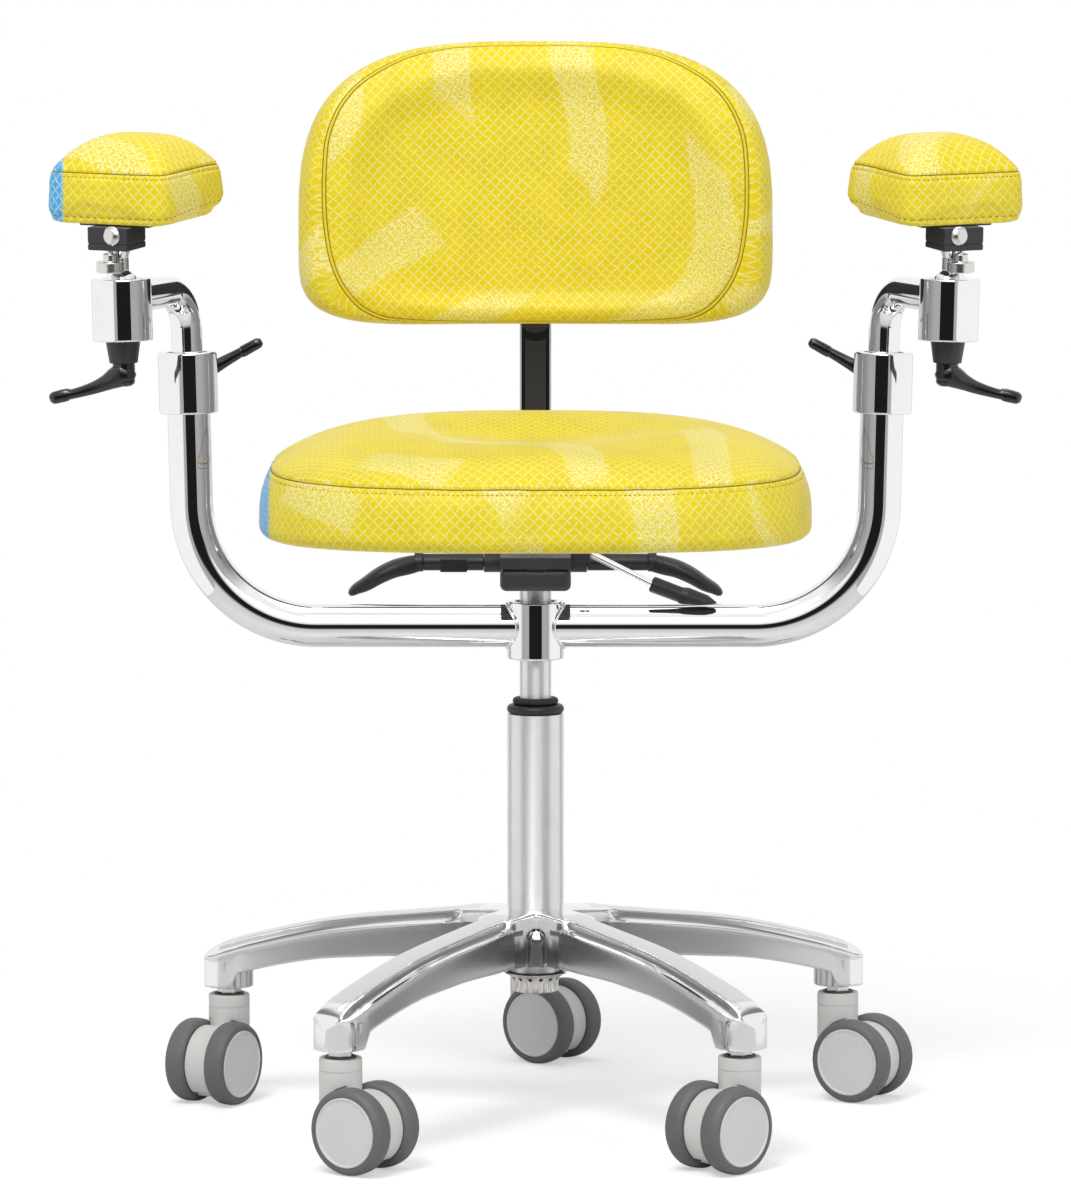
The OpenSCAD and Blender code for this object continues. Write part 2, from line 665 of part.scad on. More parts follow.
// Flat curved paddle on a round shaft
module paddle_lever() {
    t = lever_d / 2;
    x = lever_root_x;
    translate([mech_half - ear_t + cut, lever_y, lever_z])
        along_x(lever_pin_d / 2, lever_boss_x - mech_half + ear_t);
    translate([lever_boss_x + seat_gap, lever_y, lever_z]) along_x(t, x - lever_boss_x);
    translate([x - t, lever_y, lever_z]) along_x(t * 1.14, t);
    translate([0, lever_y, lever_z]) shaped_bar([
        [x - t / 2, -t * 0.1, t * 0.9, t * 0.9], [x + t * 0.8, -t * 0.4, t * 1.1, t * 1.5],
        [x + t * 2.4, -t * 0.8, t * 1.06, t * 2], [x + t * 4.1, -t * 1.6, t * 0.98, t * 2.2],
        [x + t * 5.7, -t * 2.5, t * 0.86, t * 2.1], [x + t * 6.8, -t * 3.2, t * 0.7, t * 1.8],
        [x + t * 7.6, -t * 3.75, t * 0.42, t * 1.2]]);
}

module height_lever() { color([0.08, 0.08, 0.08]) paddle_lever(); }

module tilt_lever() {
    clip = lever_clip;
    color([0.08, 0.08, 0.08]) mirror([1, 0, 0]) {
        paddle_lever();
        translate([lever_boss_x + lever_d, lever_y - clip[1] / 2, lever_z - clip[2] * 0.7])
            cube(clip);
    }
}

module at_rod() { translate(rod_eye) rotate([0, 90 + rod_slope, 0]) children(); }

module back_lever_rod() {
    color([0.85, 0.85, 0.87]) difference() {
        union() {
            at_rod() cylinder(d = rod_lever_d, h = rod_len);
            translate([rod_eye[0], rod_eye[1] - rod_eye_w / 2, rod_eye[2]]) along_y(rod_eye_d / 2, rod_eye_w);
        }
        translate([rod_eye[0], rod_eye[1] - rod_eye_w, rod_eye[2]])
            along_y(rod_eye_d / 4 + running, 2 * rod_eye_w);
    }
}

// Hand grip on the end of the rod, flat underneath where the yoke swings past it
module back_lever_grip() {
    e = grip_r * 0.2;
    color([0.07, 0.07, 0.07]) difference() {
        at_rod() translate([0, 0, grip_start]) rotate([0, -grip_turn, 0]) rotate_extrude() polygon([
            [0, 0], [grip_r - e, 0], [grip_r, e], [grip_r * 0.96, grip_len * 0.45],
            [grip_r * 1.2, grip_len * 0.55], [grip_r * 1.14, grip_len * 0.85], [grip_r * 0.7, grip_len],
            [0, grip_len]]);
        at_rod() cylinder(d = rod_lever_d + 2 * running, h = rod_len + running);
        translate([rod_eye[0], rod_eye[1] - grip_len, grip_flat_z - grip_len])
            cube([3 * grip_len, 2 * grip_len, grip_len]);
    }
}

// Seat

module seat_plate() {
    z = seat_bottom_z - seat_gap - plate_t;
    flange_y = 2 * ear_r;
    color([0.2, 0.2, 0.2]) difference() {
        union() {
            translate([-plate_half, -plate_y, z]) cube([2 * plate_half, 2 * plate_y, plate_t]);
            for (s = [0, 1]) mirror([s, 0, 0]) {
                translate([mech_half + seat_gap, tilt_y - ear_r, tilt_z])
                    cube([mech_wall, flange_y, z - tilt_z + weld]);
                translate([mech_half + seat_gap, tilt_y, tilt_z]) along_x(ear_r, mech_wall);
            }
        }
        translate([-mech_w, tilt_y, tilt_z]) along_x(pin_d / 2 + running, 2 * mech_w);
        for (s = [0, 1]) mirror([s, 0, 0]) translate([mech_half + seat_gap - cut, lever_y, lever_z])
            along_x(boss_d / 2 + 2 * cut, mech_wall + 2 * cut);
    }
}

module seat_tilt_pin() {
    color([0.7, 0.7, 0.72]) translate([-mech_half - ear_t, tilt_y, tilt_z])
        along_x(pin_d / 2, mech_w + 2 * ear_t);
}

function seat_outline(inset, steps) = [for (j = [0 : steps - 1])
    soft_point(360 * j / steps, seat_half - inset, seat_front - inset, seat_rear - inset, 2.9, 2.7)];

module seat_board() {
    inset = board_inset + seat_gap;
    color([0.12, 0.12, 0.12]) translate([0, 0, seat_bottom_z])
        linear_extrude(seat_board_t) polygon(seat_outline(inset, soft_steps));
}

// Height of the seat's top over the seam, at a place and a share of the way out to the seam
function seat_top(p, share) =
    let (hollow = seat_dish * bump(p[0], 0, seat_half * 0.6) * bump(p[1], 0, seat_front * 0.33),
        hump = seat_hump * bump(p[0], 0, seat_half * 0.25),
        fall = (seat_front_fall - hump) * bump(p[1], -seat_front * 0.6, seat_front * 0.37))
    seat_crown * (1 - pow(share, 4.2)) - (1 - pow(share, 2)) * (hollow + fall);

// How far the seat's seam rises to the rear, as a share of its full rise, at a share of the side's height
function seat_lean(share) = seat_lean_share * 1.25 * max(0, share - 0.2);

module seat_cushion() {
    recess = seat_board_t + 2 * seat_gap;
    shares = [0.985, 0.95, 0.89, 0.8, 0.68, 0.54, 0.38, 0.2, 0.05];
    color([0.93, 0.85, 0.1]) loft(concat(
        [for (z = [recess, 0]) [for (p = seat_outline(board_inset, soft_steps))
            [p[0], p[1], seat_bottom_z + z]]],
        [for (l = seat_levels) [for (p = seat_outline(l[0], soft_steps))
            [p[0], p[1], seat_bottom_z + l[1] * seat_side_h + p[1] * seat_lean(l[1])]]],
        [for (s = shares) [for (q = seat_outline(seat_seam_in, soft_steps)) let (p = q * s)
            [p[0], p[1], seat_seam_z + p[1] * seat_lean_share + seat_top(p, s)]]]));
}

// Back

module back_bar() {
    low_z = back_pin_z;
    mid_r = bar_bend_r + bar_t / 2;
    color([0.85, 0.85, 0.87]) difference() {
        union() {
            translate([-bar_w / 2, back_pin_y, low_z - bar_t / 2])
                cube([bar_w, bar_mid_y - mid_r - back_pin_y, bar_t]);
            translate([-bar_w / 2, bar_mid_y - mid_r, low_z + mid_r]) rotate([0, 90, 0])
                rotate_extrude(angle = 90) translate([bar_bend_r, 0]) square([bar_t, bar_w]);
            translate([-bar_w / 2, bar_y, low_z + mid_r]) cube([bar_w, bar_t, bar_top_z - low_z - mid_r]);
            translate([-bar_w / 2, back_pin_y, low_z]) along_x(ear_r - cut, bar_w);
        }
        translate([-bar_w, back_pin_y, back_pin_z]) along_x(pin_d / 2 + running, 2 * bar_w);
        translate([-inlay_w / 2 - running, bar_y - cut, inlay_bottom_z - running])
            cube([inlay_w + 2 * running, inlay_t + cut, inlay_top_z - inlay_bottom_z + 2 * running]);
    }
}

module back_bar_inlay() {
    color([0.25, 0.25, 0.26]) difference() {
        translate([-inlay_w / 2, bar_y, inlay_bottom_z])
            cube([inlay_w, inlay_t - running, inlay_top_z - inlay_bottom_z]);
        translate([0, bar_y - cut, inlay_top_z + inlay_arc_r - inlay_w * 0.5])
            along_y(inlay_arc_r, inlay_t + 2 * cut);
    }
}

module back_pivot_pin() {
    color([0.7, 0.7, 0.72]) translate([-mech_half, back_pin_y, back_pin_z]) along_x(pin_d / 2, mech_w);
}

module back_bracket() {
    z = back_bottom_z;
    y = bar_y - seat_gap;
    slot = bar_t + 2 * seat_gap;
    color([0.07, 0.07, 0.07]) difference() {
        union() {
            translate([-bracket_w / 2, y - mech_wall + weld, z + 2 * bracket_boss_r])
                cube([bracket_w, slot + 2 * mech_wall, bracket_h]);
            translate([0, y - mech_wall + weld, z + bracket_boss_r / 2 - weld])
                along_y(bracket_boss_r, mech_wall - weld);
            translate([-bracket_boss_r, y - mech_wall + weld, z + bracket_boss_r / 2])
                cube([2 * bracket_boss_r, mech_wall - weld, 2 * bracket_boss_r]);
        }
        translate([-bar_w / 2 - seat_gap, y, z - bracket_boss_r])
            cube([bar_w + 2 * seat_gap, slot, bracket_h + 4 * bracket_boss_r]);
    }
}

function back_outline(inset) =
    let (low = back_mid_z - back_bottom_z, a = back_w / 2 - inset)
    [for (j = [0 : soft_steps - 1])
        let (p = soft_point(360 * j / soft_steps, a, low - inset, back_h - low - inset, 5, 3.05))
        [p[0], p[1] + back_mid_z]];

// Wraps a flat place round the sitter: x across, z up, d behind the front of the backrest
function wrapped(x, z, d) = [(back_r + d) * sin(x / back_r * 180 / PI),
    back_front_y - back_r + (back_r + d) * cos(x / back_r * 180 / PI), z];

// Ring of the backrest's outline drawn in to a share of its size, at a depth behind the front
function back_ring(inset, share, d) = [for (p = back_outline(inset))
    wrapped(p[0] * share, (p[1] - back_mid_z) * share + back_mid_z, d)];

module back_cushion() {
    rear_shares = [0.05, 0.3, 0.55, 0.8];
    shares = [0.985, 0.96, 0.92, 0.86, 0.78, 0.66, 0.5, 0.3, 0.05];
    color([0.93, 0.85, 0.1]) loft(concat(
        [for (s = rear_shares) back_ring(back_levels[0][0], s, back_t)],
        [for (l = back_levels) back_ring(l[0], 1, l[1] * back_t)],
        [for (s = shares) let (crest = bump(s, 0.86, 0.12))
            back_ring(0, s, back_rim * (1 - crest) * (s > 0.86 ? 1 : 1.2))]));
}

module back_board() {
    near = back_t + 3 * seat_gap;
    far = near + back_board_t;
    rim_in = back_board_in + 3 * back_board_edge;
    shares = [0.05, 0.3, 0.55, 0.8];
    color([0.1, 0.1, 0.1]) loft(concat(
        [for (i = [0 : 3]) back_ring(rim_in, shares[i], far)],
        [back_ring(rim_in, 1, far), back_ring(back_board_in + back_board_edge, 1, far - cut),
            back_ring(back_board_in, 1, near)],
        [for (i = [3 : -1 : 0]) back_ring(back_board_in, shares[i], near)]));
}

// Yoke

// Children placed at the foot of an upright, leaning out with it; side is 1 or -1
module at_upright(side) {
    mirror([side < 0 ? 1 : 0, 0, 0]) translate([upright_x, 0, upright_z]) rotate([0, splay, 0]) children();
}

// One side of the yoke's run as a solid bar, from a start beside the column
module yoke_run(r, start_x, top) {
    straight = yoke_half - yoke_bend_r - start_x;
    translate([start_x, 0, yoke_z]) along_x(r, straight);
    translate([yoke_half - yoke_bend_r, 0, yoke_z + yoke_bend_r])
        rotate([90, 0, 0]) rotate([0, 0, -90]) bend(yoke_bend_r, r, 90 - splay);
    translate([upright_x, 0, upright_z]) rotate([0, splay, 0]) translate([0, 0, -cut])
        cylinder(r = r - running, h = top + cut);
}

module arm_yoke() {
    color([0.88, 0.88, 0.9]) difference() {
        union() {
            translate([0, 0, sleeve_bottom_z]) rounded_ring(sleeve_bore / 2, sleeve_d / 2, sleeve_len, cut);
            for (s = [0, 1]) mirror([s, 0, 0]) {
                yoke_run(yoke_d / 2, sleeve_bore / 2 + cut, collar_z + cut);
                translate([upright_x, 0, upright_z]) rotate([0, splay, 0]) translate([0, 0, collar_z])
                    rounded_ring(0, collar_r, collar_len, cut);
            }
        }
        for (s = [0, 1]) mirror([s, 0, 0]) {
            yoke_run(yoke_bore / 2, sleeve_d / 2 - 2 * cut, collar_z + cut);
            translate([upright_x, 0, upright_z]) rotate([0, splay, 0]) {
                translate([0, 0, collar_z]) cylinder(d = collar_bore, h = collar_len + cut);
                translate([0, 0, clamp_z]) along_y(screw_d / 2 + running + cut, collar_d);
            }
        }
        translate([0, 0, sleeve_bottom_z - cut]) cylinder(d = sleeve_bore, h = sleeve_len + 2 * cut);
    }
}

module yoke_bushes() {
    len = sleeve_len / 3;
    z0 = sleeve_bottom_z + bush_flange + 2 * cut;
    color([0.1, 0.1, 0.1]) for (z = [z0, sleeve_bottom_z + sleeve_len - len - cut])
        translate([0, 0, z]) pipe(sleeve_bore / 2 - running, press_r + running, len);
}

module yoke_thrust_ring() {
    color([0.7, 0.7, 0.72]) translate([0, 0, sleeve_bottom_z + cut])
        pipe(sleeve_bore / 2 - seat_gap, press_r + running, bush_flange + cut - face_gap);
}

// Arms, drawn at the foot of the right-hand upright

module guide_bush(side) {
    color([0.1, 0.1, 0.1]) at_upright(side) translate([0, 0, collar_z + cut])
        pipe(collar_bore / 2 - running, arm_r + running, collar_len - cut - weld);
}

// The arm tube as a solid bar, straight ahead
module arm_run(r, low) {
    translate([0, 0, low]) cylinder(r = r, h = arm_z - arm_bend_r - low);
    translate([0, -arm_bend_r, arm_z - arm_bend_r]) rotate([90, 0, 90]) bend(arm_bend_r, r, 90);
    translate([0, -arm_reach + arm_r, arm_z]) along_y(r, arm_reach - arm_bend_r - arm_r);
}

module at_collar2(side) { at_upright(side) rotate([0, 0, arm_yaw]) translate([0, -arm_reach, 0]) children(); }

module arm_tube(side) {
    color([0.88, 0.88, 0.9]) at_upright(side) rotate([0, 0, arm_yaw]) difference() {
        union() {
            arm_run(arm_r, arm_low_z);
            translate([0, -arm_reach, collar2_z]) rounded_ring(0, collar_r, collar_len, cut);
        }
        difference() {
            arm_run(arm_r - arm_wall, arm_low_z - cut);
            translate([0, -arm_reach, collar2_z - cut])
                cylinder(r = collar_r - cut, h = collar_len + 2 * cut);
        }
        translate([0, -arm_reach, ball_z]) sphere(ball_r + running, $fn = 96);
        translate([0, -arm_reach, ball_z]) cylinder(r1 = ball_r * 0.8, r2 = ball_r, h = collar_len);
        translate([0, -arm_reach, collar2_z - cut])
            cylinder(d = screw_boss_d + 2 * running, h = collar_len / 2);
    }
}

// Handle of a clamp lever: an S-curve in the XZ plane that starts at its hub
module clamp_handle(rise, drop) {
    l = handle_len;
    t = lever_d / 2;
    shaped_bar([[-t * 0.2, 0, t * 1.1, t * 1.1], [l * 0.14, -drop * 0.05, t, t],
        [l * 0.3, -drop * 0.3 + rise * 0.12, t * 0.72, t * 0.8],
        [l * 0.5, -drop * 0.72 + rise * 0.38, t * 0.62, t * 0.72],
        [l * 0.75, -drop * 0.92 + rise * 0.7, t * 0.66, t * 0.76],
        [l * 0.92, -drop + rise * 0.92, t * 0.66, t * 0.76], [l, -drop + rise, t * 0.34, t * 0.4]], 16);
}

module height_clamp(side) {
    hub_y = collar_r + seat_gap;
    hub_len = clamp_hub_len;
    color([0.06, 0.06, 0.06]) at_upright(side) translate([0, 0, clamp_z]) {
        translate([0, collar_bore / 2 + seat_gap, 0]) along_y(screw_d / 2, hub_y - collar_bore / 2 + cut);
        translate([0, hub_y, 0]) along_y(lever_d * 0.55, hub_len);
        translate([0, hub_y + hub_len - lever_d / 2, 0]) mirror([1, 0, 0]) clamp_handle(handle_len * 0.5, 0);
    }
}

module pad_clamp(side) {
    hub_h = clamp_hub_len;
    color([0.06, 0.06, 0.06]) at_collar2(side) translate([0, 0, collar2_z - seat_gap]) {
        translate([0, 0, -cut]) cylinder(d = screw_boss_d, h = collar_len / 2 - 2 * cut);
        translate([0, 0, -cone_h]) cylinder(r1 = lever_d * 0.82, r2 = ball_r, h = cone_h);
        translate([0, 0, -cone_h - hub_h]) cylinder(r = lever_d * 0.64, h = hub_h + cut);
        translate([0, 0, -cone_h - hub_h / 2]) rotate([0, 0, -arm_yaw]) clamp_handle(0, hub_h);
    }
}

// Children placed at the ball, in the frame of the tilted pad
module at_ball(side) {
    at_collar2(side) translate([0, 0, ball_z]) rotate([pad_pitch, -pad_roll, 0]) children();
}

module ball_stud(side) {
    top = block_z - ball_z;
    color([0.88, 0.88, 0.9]) at_ball(side) {
        sphere(ball_r, $fn = 96);
        cylinder(r = neck_r, h = top * 0.75);
        translate([0, 0, top * 0.75]) cylinder(r1 = neck_r, r2 = neck_r * 1.35, h = top / 4 - seat_gap);
        translate([0, 0, top - cut]) cylinder(d = post_d, h = block_h - 2 * cut);
    }
}

module pad_block(side) {
    top = block_z - ball_z;
    plate = [pad_w * 0.6, pad_len * 0.6, pad_plate_t];
    color([0.08, 0.08, 0.08]) at_ball(side) translate([0, 0, top]) difference() {
        union() {
            translate([-block_w / 2, -block_front, 0]) cube([block_w, block_front + block_back, block_h]);
            translate([-plate[0] / 2, pad_back - plate[1] / 2, block_h - weld]) cube(plate);
        }
        translate([0, 0, -cut]) cylinder(d = post_d + 2 * running, h = block_h);
        translate([0, -screw_y, -cut]) cylinder(d = screw_d + 2 * running, h = block_h / 2 + cut);
        difference() {
            translate([-block_w / 2 - cut, -block_front - cut, block_h * 0.28])
                cube([block_w + 2 * cut, block_front + block_back + 2 * cut, cut * 0.8]);
            translate([-block_w / 2 + cut, -block_front + cut, 0])
                cube([block_w - 2 * cut, block_front + block_back - 2 * cut, block_h]);
        }
    }
}

module thumb_screw(side) {
    top = block_z - ball_z;
    color([0.85, 0.85, 0.87]) at_ball(side) translate([0, -screw_y, top - screw_drop]) {
        translate([0, 0, -screw_head_h]) rounded_ring(0, screw_head_d / 2, screw_head_h, cut);
        cylinder(d = screw_boss_d, h = screw_drop * 0.7);
        cylinder(d = screw_d, h = screw_drop + block_h * 0.4);
    }
}

function pad_outline(inset) = [for (j = [0 : soft_steps - 1])
    soft_point(360 * j / soft_steps, pad_w / 2 - inset, pad_len / 2 - inset, pad_len / 2 - inset, 5.5, 5.5)];

// Drop of the pad towards its front end
function droop(y) = -pad_droop * pow(max(0, (-y - pad_len * 0.1) / (pad_len * 0.4)), 2);

module pad_cushion(side) {
    base = block_z - ball_z + block_h + pad_plate_t - weld + seat_gap;
    shares = [0.985, 0.93, 0.84, 0.7, 0.52, 0.3, 0.06];
    color([0.93, 0.85, 0.1]) at_ball(side) translate([0, pad_back, base]) loft(concat(
        [for (l = pad_levels) [for (p = pad_outline(l[0])) [p[0], p[1], l[1] * (pad_side_h + droop(p[1]))]]],
        [for (s = shares) [for (q = pad_outline(pad_seam_in)) let (p = q * s)
            [p[0], p[1], pad_side_h + droop(p[1]) + pad_crown * (1 - pow(s, 2.6))
                * (1 - 0.45 * pow(abs(p[1]) / (pad_len / 2), 2))]]]));
}

star_base();
column_outer_tube();
column_guide_bush();
column_buffer_ring();
column_foot_ring();
caster_stems();
caster_seal_rings();
caster_housing(0);  // caster_1_housing
caster_wheel(0, 1);  // caster_1_wheel_left
caster_wheel(0, -1);  // caster_1_wheel_right
caster_housing(1);  // caster_2_housing
caster_wheel(1, 1);  // caster_2_wheel_left
caster_wheel(1, -1);  // caster_2_wheel_right
caster_housing(2);  // caster_3_housing
caster_wheel(2, 1);  // caster_3_wheel_left
caster_wheel(2, -1);  // caster_3_wheel_right
caster_housing(3);  // caster_4_housing
caster_wheel(3, 1);  // caster_4_wheel_left
caster_wheel(3, -1);  // caster_4_wheel_right
caster_housing(4);  // caster_5_housing
caster_wheel(4, 1);  // caster_5_wheel_left
caster_wheel(4, -1);  // caster_5_wheel_right
piston_rod();
thrust_bearing();
pressure_tube();
mechanism_body();
mechanism_cover();
height_lever();
tilt_lever();
back_lever_rod();
back_lever_grip();
seat_plate();
seat_tilt_pin();
seat_board();
seat_cushion();
back_bar();
back_bar_inlay();
back_pivot_pin();
back_bracket();
back_board();
back_cushion();
arm_yoke();
yoke_bushes();
yoke_thrust_ring();
guide_bush(1);  // right_guide_bush
arm_tube(1);  // right_arm_tube
height_clamp(1);  // right_height_clamp
pad_clamp(1);  // right_pad_clamp
ball_stud(1);  // right_ball_stud
pad_block(1);  // right_pad_block
thumb_screw(1);  // right_thumb_screw
pad_cushion(1);  // right_pad_cushion
guide_bush(-1);  // left_guide_bush
arm_tube(-1);  // left_arm_tube
height_clamp(-1);  // left_height_clamp
pad_clamp(-1);  // left_pad_clamp
ball_stud(-1);  // left_ball_stud
pad_block(-1);  // left_pad_block
thumb_screw(-1);  // left_thumb_screw
pad_cushion(-1);  // left_pad_cushion
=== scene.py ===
"""Microscope chair, dressed for the picture: upholstery, chrome, castings, casters and levers.

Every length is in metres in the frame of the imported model: +Z up, the floor at 0, the column on the Z
axis and the sitter facing -Y. Sizes that are easier to read in millimetres are written times MM.
"""
import logging
import math
from contextlib import contextmanager
from dataclasses import dataclass, field
from enum import Enum
from typing import Callable, Iterator, Optional, Sequence

import bpy
import numpy as np
from mathutils import Matrix, Vector
from mathutils.bvhtree import BVHTree
from mathutils.kdtree import KDTree


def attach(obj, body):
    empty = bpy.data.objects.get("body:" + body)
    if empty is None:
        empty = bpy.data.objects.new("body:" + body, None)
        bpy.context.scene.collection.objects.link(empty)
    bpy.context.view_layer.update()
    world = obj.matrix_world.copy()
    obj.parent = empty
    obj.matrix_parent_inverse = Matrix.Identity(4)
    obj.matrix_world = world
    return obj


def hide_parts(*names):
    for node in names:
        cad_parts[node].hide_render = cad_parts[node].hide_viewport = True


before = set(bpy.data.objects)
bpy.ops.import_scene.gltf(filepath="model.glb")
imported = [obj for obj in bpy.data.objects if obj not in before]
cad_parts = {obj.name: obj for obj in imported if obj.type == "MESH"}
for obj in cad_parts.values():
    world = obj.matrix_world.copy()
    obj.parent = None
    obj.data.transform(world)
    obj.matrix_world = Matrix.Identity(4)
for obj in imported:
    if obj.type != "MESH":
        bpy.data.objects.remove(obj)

logging.basicConfig(level=logging.INFO, format="%(message)s")
LOG = logging.getLogger("chair")
MM = 0.001
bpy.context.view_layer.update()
SEAM_MARGIN = 0.0003

Rings = list[np.ndarray]
Mapping = Callable[[np.ndarray], np.ndarray]
Piece = bpy.types.Object
Socket = bpy.types.NodeSocket
Items = bpy.types.bpy_prop_collection


def turn(degrees: float, axis: str) -> Matrix:
    """A rotation about one axis."""
    return Matrix.Rotation(math.radians(degrees), 4, axis)


def shift(x: float, y: float, z: float) -> Matrix:
    """A move in millimetres."""
    return Matrix.Translation((x * MM, y * MM, z * MM))


def grey(value: float) -> tuple[float, float, float]:
    """A neutral colour."""
    return value, value, value


def read(items: Items, key: str, width: int = 1, kind: type = float) -> np.ndarray:
    """One property of every item of a mesh, in rows when it has several parts."""
    flat = np.empty(len(items) * width, kind)
    items.foreach_get(key, flat)
    return flat.reshape(-1, width) if width > 1 else flat


def places_of(piece: Piece) -> np.ndarray:
    """The mesh's points."""
    return read(piece.data.vertices, "co", 3)


def move_to(piece: Piece, places: np.ndarray) -> None:
    """Puts the mesh's points at new places."""
    piece.data.vertices.foreach_set("co", places.ravel())
    piece.data.update()


# Finishes

class Finish(Enum):
    """The finishes of the chair's surfaces; each value is the material's name."""

    CHROME = "mirror_chrome"
    SATIN = "satin_chrome"
    CASTING = "polished_casting"
    BRIGHT = "bright_steel"
    GROUND = "ground_steel"
    # Black moulded plastic; also the dark strips painted as shade in the mechanism cover's slot and notches.
    BLACK_MOULDED = "black_moulded_and_shade"
    BLACK_GLOSS = "black_gloss"
    # Soft rubber; also the dark cone painted as shade in the gap under the hub.
    RUBBER = "soft_rubber_and_shade"
    POWDER_COAT = "powder_coat"
    CASTER_SHELL = "caster_shell"
    WHEEL_FACE = "wheel_face"
    TREAD = "wheel_tread"
    SEAL = "seal_grey"
    # Ochre thread; the same colour also draws dark lines in the seams' creases as painted shade.
    THREAD = "ochre_thread_and_crease_shade"
    PRINT = "printed_cover"
    PRINT_SEAT = "printed_cover_seat"
    PRINT_PAD = "printed_cover_pad"


COVERS = (Finish.PRINT, Finish.PRINT_SEAT, Finish.PRINT_PAD)


@dataclass(frozen=True)
class Metal:
    """A bare or plated metal: colour, roughness, smudges, brush lines and casting ripple."""

    colour: tuple[float, float, float]
    rough: float
    smudge: float
    brush: float
    ripple: float = 0.0


@dataclass(frozen=True)
class Plastic:
    """A moulded or painted surface: its colour, gloss, grain size per metre and grain depth in metres."""

    colour: tuple[float, float, float]
    rough: float
    grain: float
    depth: float
    mottle: float = 0.12
    coat: float = 0.0


METALS: dict[Finish, Metal] = {
    Finish.CHROME: Metal((0.93, 0.92, 0.91), 0.035, 0.04, 0.0),
    Finish.SATIN: Metal((0.87, 0.88, 0.895), 0.38, 0.06, 1.0),
    Finish.CASTING: Metal((0.88, 0.885, 0.895), 0.08, 0.02, 0.0, 0.05),
    Finish.BRIGHT: Metal((0.74, 0.72, 0.70), 0.20, 0.12, 0.4),
    Finish.GROUND: Metal((0.50, 0.51, 0.53), 0.34, 0.10, 0.6),
}

PLASTICS: dict[Finish, Plastic] = {
    Finish.BLACK_MOULDED: Plastic((0.022, 0.022, 0.023), 0.42, 1400, 0.00012),
    Finish.BLACK_GLOSS: Plastic((0.009, 0.009, 0.010), 0.12, 900, 0.000004, 0.08, 0.5),
    Finish.RUBBER: Plastic((0.018, 0.018, 0.019), 0.62, 1100, 0.00010),
    Finish.POWDER_COAT: Plastic((0.052, 0.052, 0.054), 0.48, 1700, 0.00016),
    Finish.CASTER_SHELL: Plastic((0.76, 0.76, 0.74), 0.40, 1500, 0.00008, 0.05),
    Finish.WHEEL_FACE: Plastic((0.76, 0.76, 0.765), 0.44, 1500, 0.00009, 0.05),
    Finish.TREAD: Plastic((0.145, 0.150, 0.158), 0.55, 1200, 0.00012),
    Finish.SEAL: Plastic((0.10, 0.10, 0.10), 0.50, 1200, 0.00010),
    Finish.THREAD: Plastic((0.30, 0.19, 0.008), 0.70, 2600, 0.00012),
}


class NodeBench:
    """Lays out shader nodes in one tree."""

    def __init__(self, tree: bpy.types.NodeTree) -> None:
        """Starts from an empty tree.

        Args:
            tree: The material's, world's or group's node tree.
        """
        self.tree = tree
        tree.nodes.clear()

    def add(self, kind: str, inputs: Optional[dict] = None, **values: object) -> bpy.types.Node:
        """Adds a node, sets its properties and feeds its inputs.

        Args:
            kind: The node's type name.
            inputs: What goes into its inputs, by name or number.
            values: Properties to set on the node.

        Returns:
            The new node.
        """
        node = self.tree.nodes.new(kind)
        for key, value in values.items():
            setattr(node, key, value)
        return self.fill(node, inputs or {})

    def fill(self, node: bpy.types.Node, inputs: dict) -> bpy.types.Node:
        """Feeds a node's inputs, by name or number."""
        for key, source in inputs.items():
            self.feed(node.inputs[key], source)
        return node

    def link(self, source: Socket, target: Socket) -> None:
        """Joins an output to an input."""
        self.tree.links.new(source, target)

    def feed(self, target: Socket, source: object) -> None:
        """Sets an input to a number or colour, or joins an output to it."""
        if isinstance(source, Socket):
            self.link(source, target)
        elif isinstance(source, tuple) and len(source) == 3 and target.type == "RGBA":
            target.default_value = (*source, 1.0)
        else:
            target.default_value = source

    def math(self, operation: str, *inputs: object, clamp: bool = False) -> Socket:
        """A Math node on numbers or outputs; returns its value."""
        return self.add("ShaderNodeMath", dict(enumerate(inputs)), operation=operation, use_clamp=clamp).outputs[0]

    def mix(self, share: object, first: object, second: object) -> Socket:
        """Mixes two colours by a share; returns the colour."""
        return self.add("ShaderNodeMix", {0: share, 6: first, 7: second}, data_type="RGBA").outputs[2]

    def noise(self, vector: object, scale: object, detail: float = 2.0, rough: float = 0.5) -> Socket:
        """A noise texture; returns its value."""
        return self.add("ShaderNodeTexNoise", {
            "Vector": vector, "Scale": scale, "Detail": detail, "Roughness": rough}).outputs[0]

    def spread(self, value: object, low: float, high: float, to_low: float = 0.0, to_high: float = 1.0,
               smooth: bool = True) -> Socket:
        """Maps a value from one range to another, held at the ends; returns the result."""
        limits = {"From Min": low, "From Max": high, "To Min": to_low, "To Max": to_high}
        return self.add("ShaderNodeMapRange", {"Value": value, **limits}, clamp=True,
                        interpolation_type="SMOOTHSTEP" if smooth else "LINEAR").outputs[0]

    def split(self, vector: Socket) -> Items:
        """The three parts of a vector."""
        return self.add("ShaderNodeSeparateXYZ", {0: vector}).outputs

    def group(self, tree: bpy.types.NodeTree, vector: Socket, **inputs: float) -> Items:
        """Places a shared group and sets its inputs; returns its outputs."""
        return self.add("ShaderNodeGroup", {"Vector": vector, **inputs}, node_tree=tree).outputs

    def bump(self, height: Socket, distance: float, strength: float, shader: bpy.types.Node) -> None:
        """Bends a shader's normal by a height."""
        node = self.add("ShaderNodeBump", {"Distance": distance, "Strength": strength, "Height": height})
        self.link(node.outputs[0], shader.inputs["Normal"])


def new_material(name: str) -> tuple[bpy.types.Material, NodeBench]:
    """An empty material and the bench for its nodes."""
    material = bpy.data.materials.new(name)
    material.use_nodes = True
    return material, NodeBench(material.node_tree)


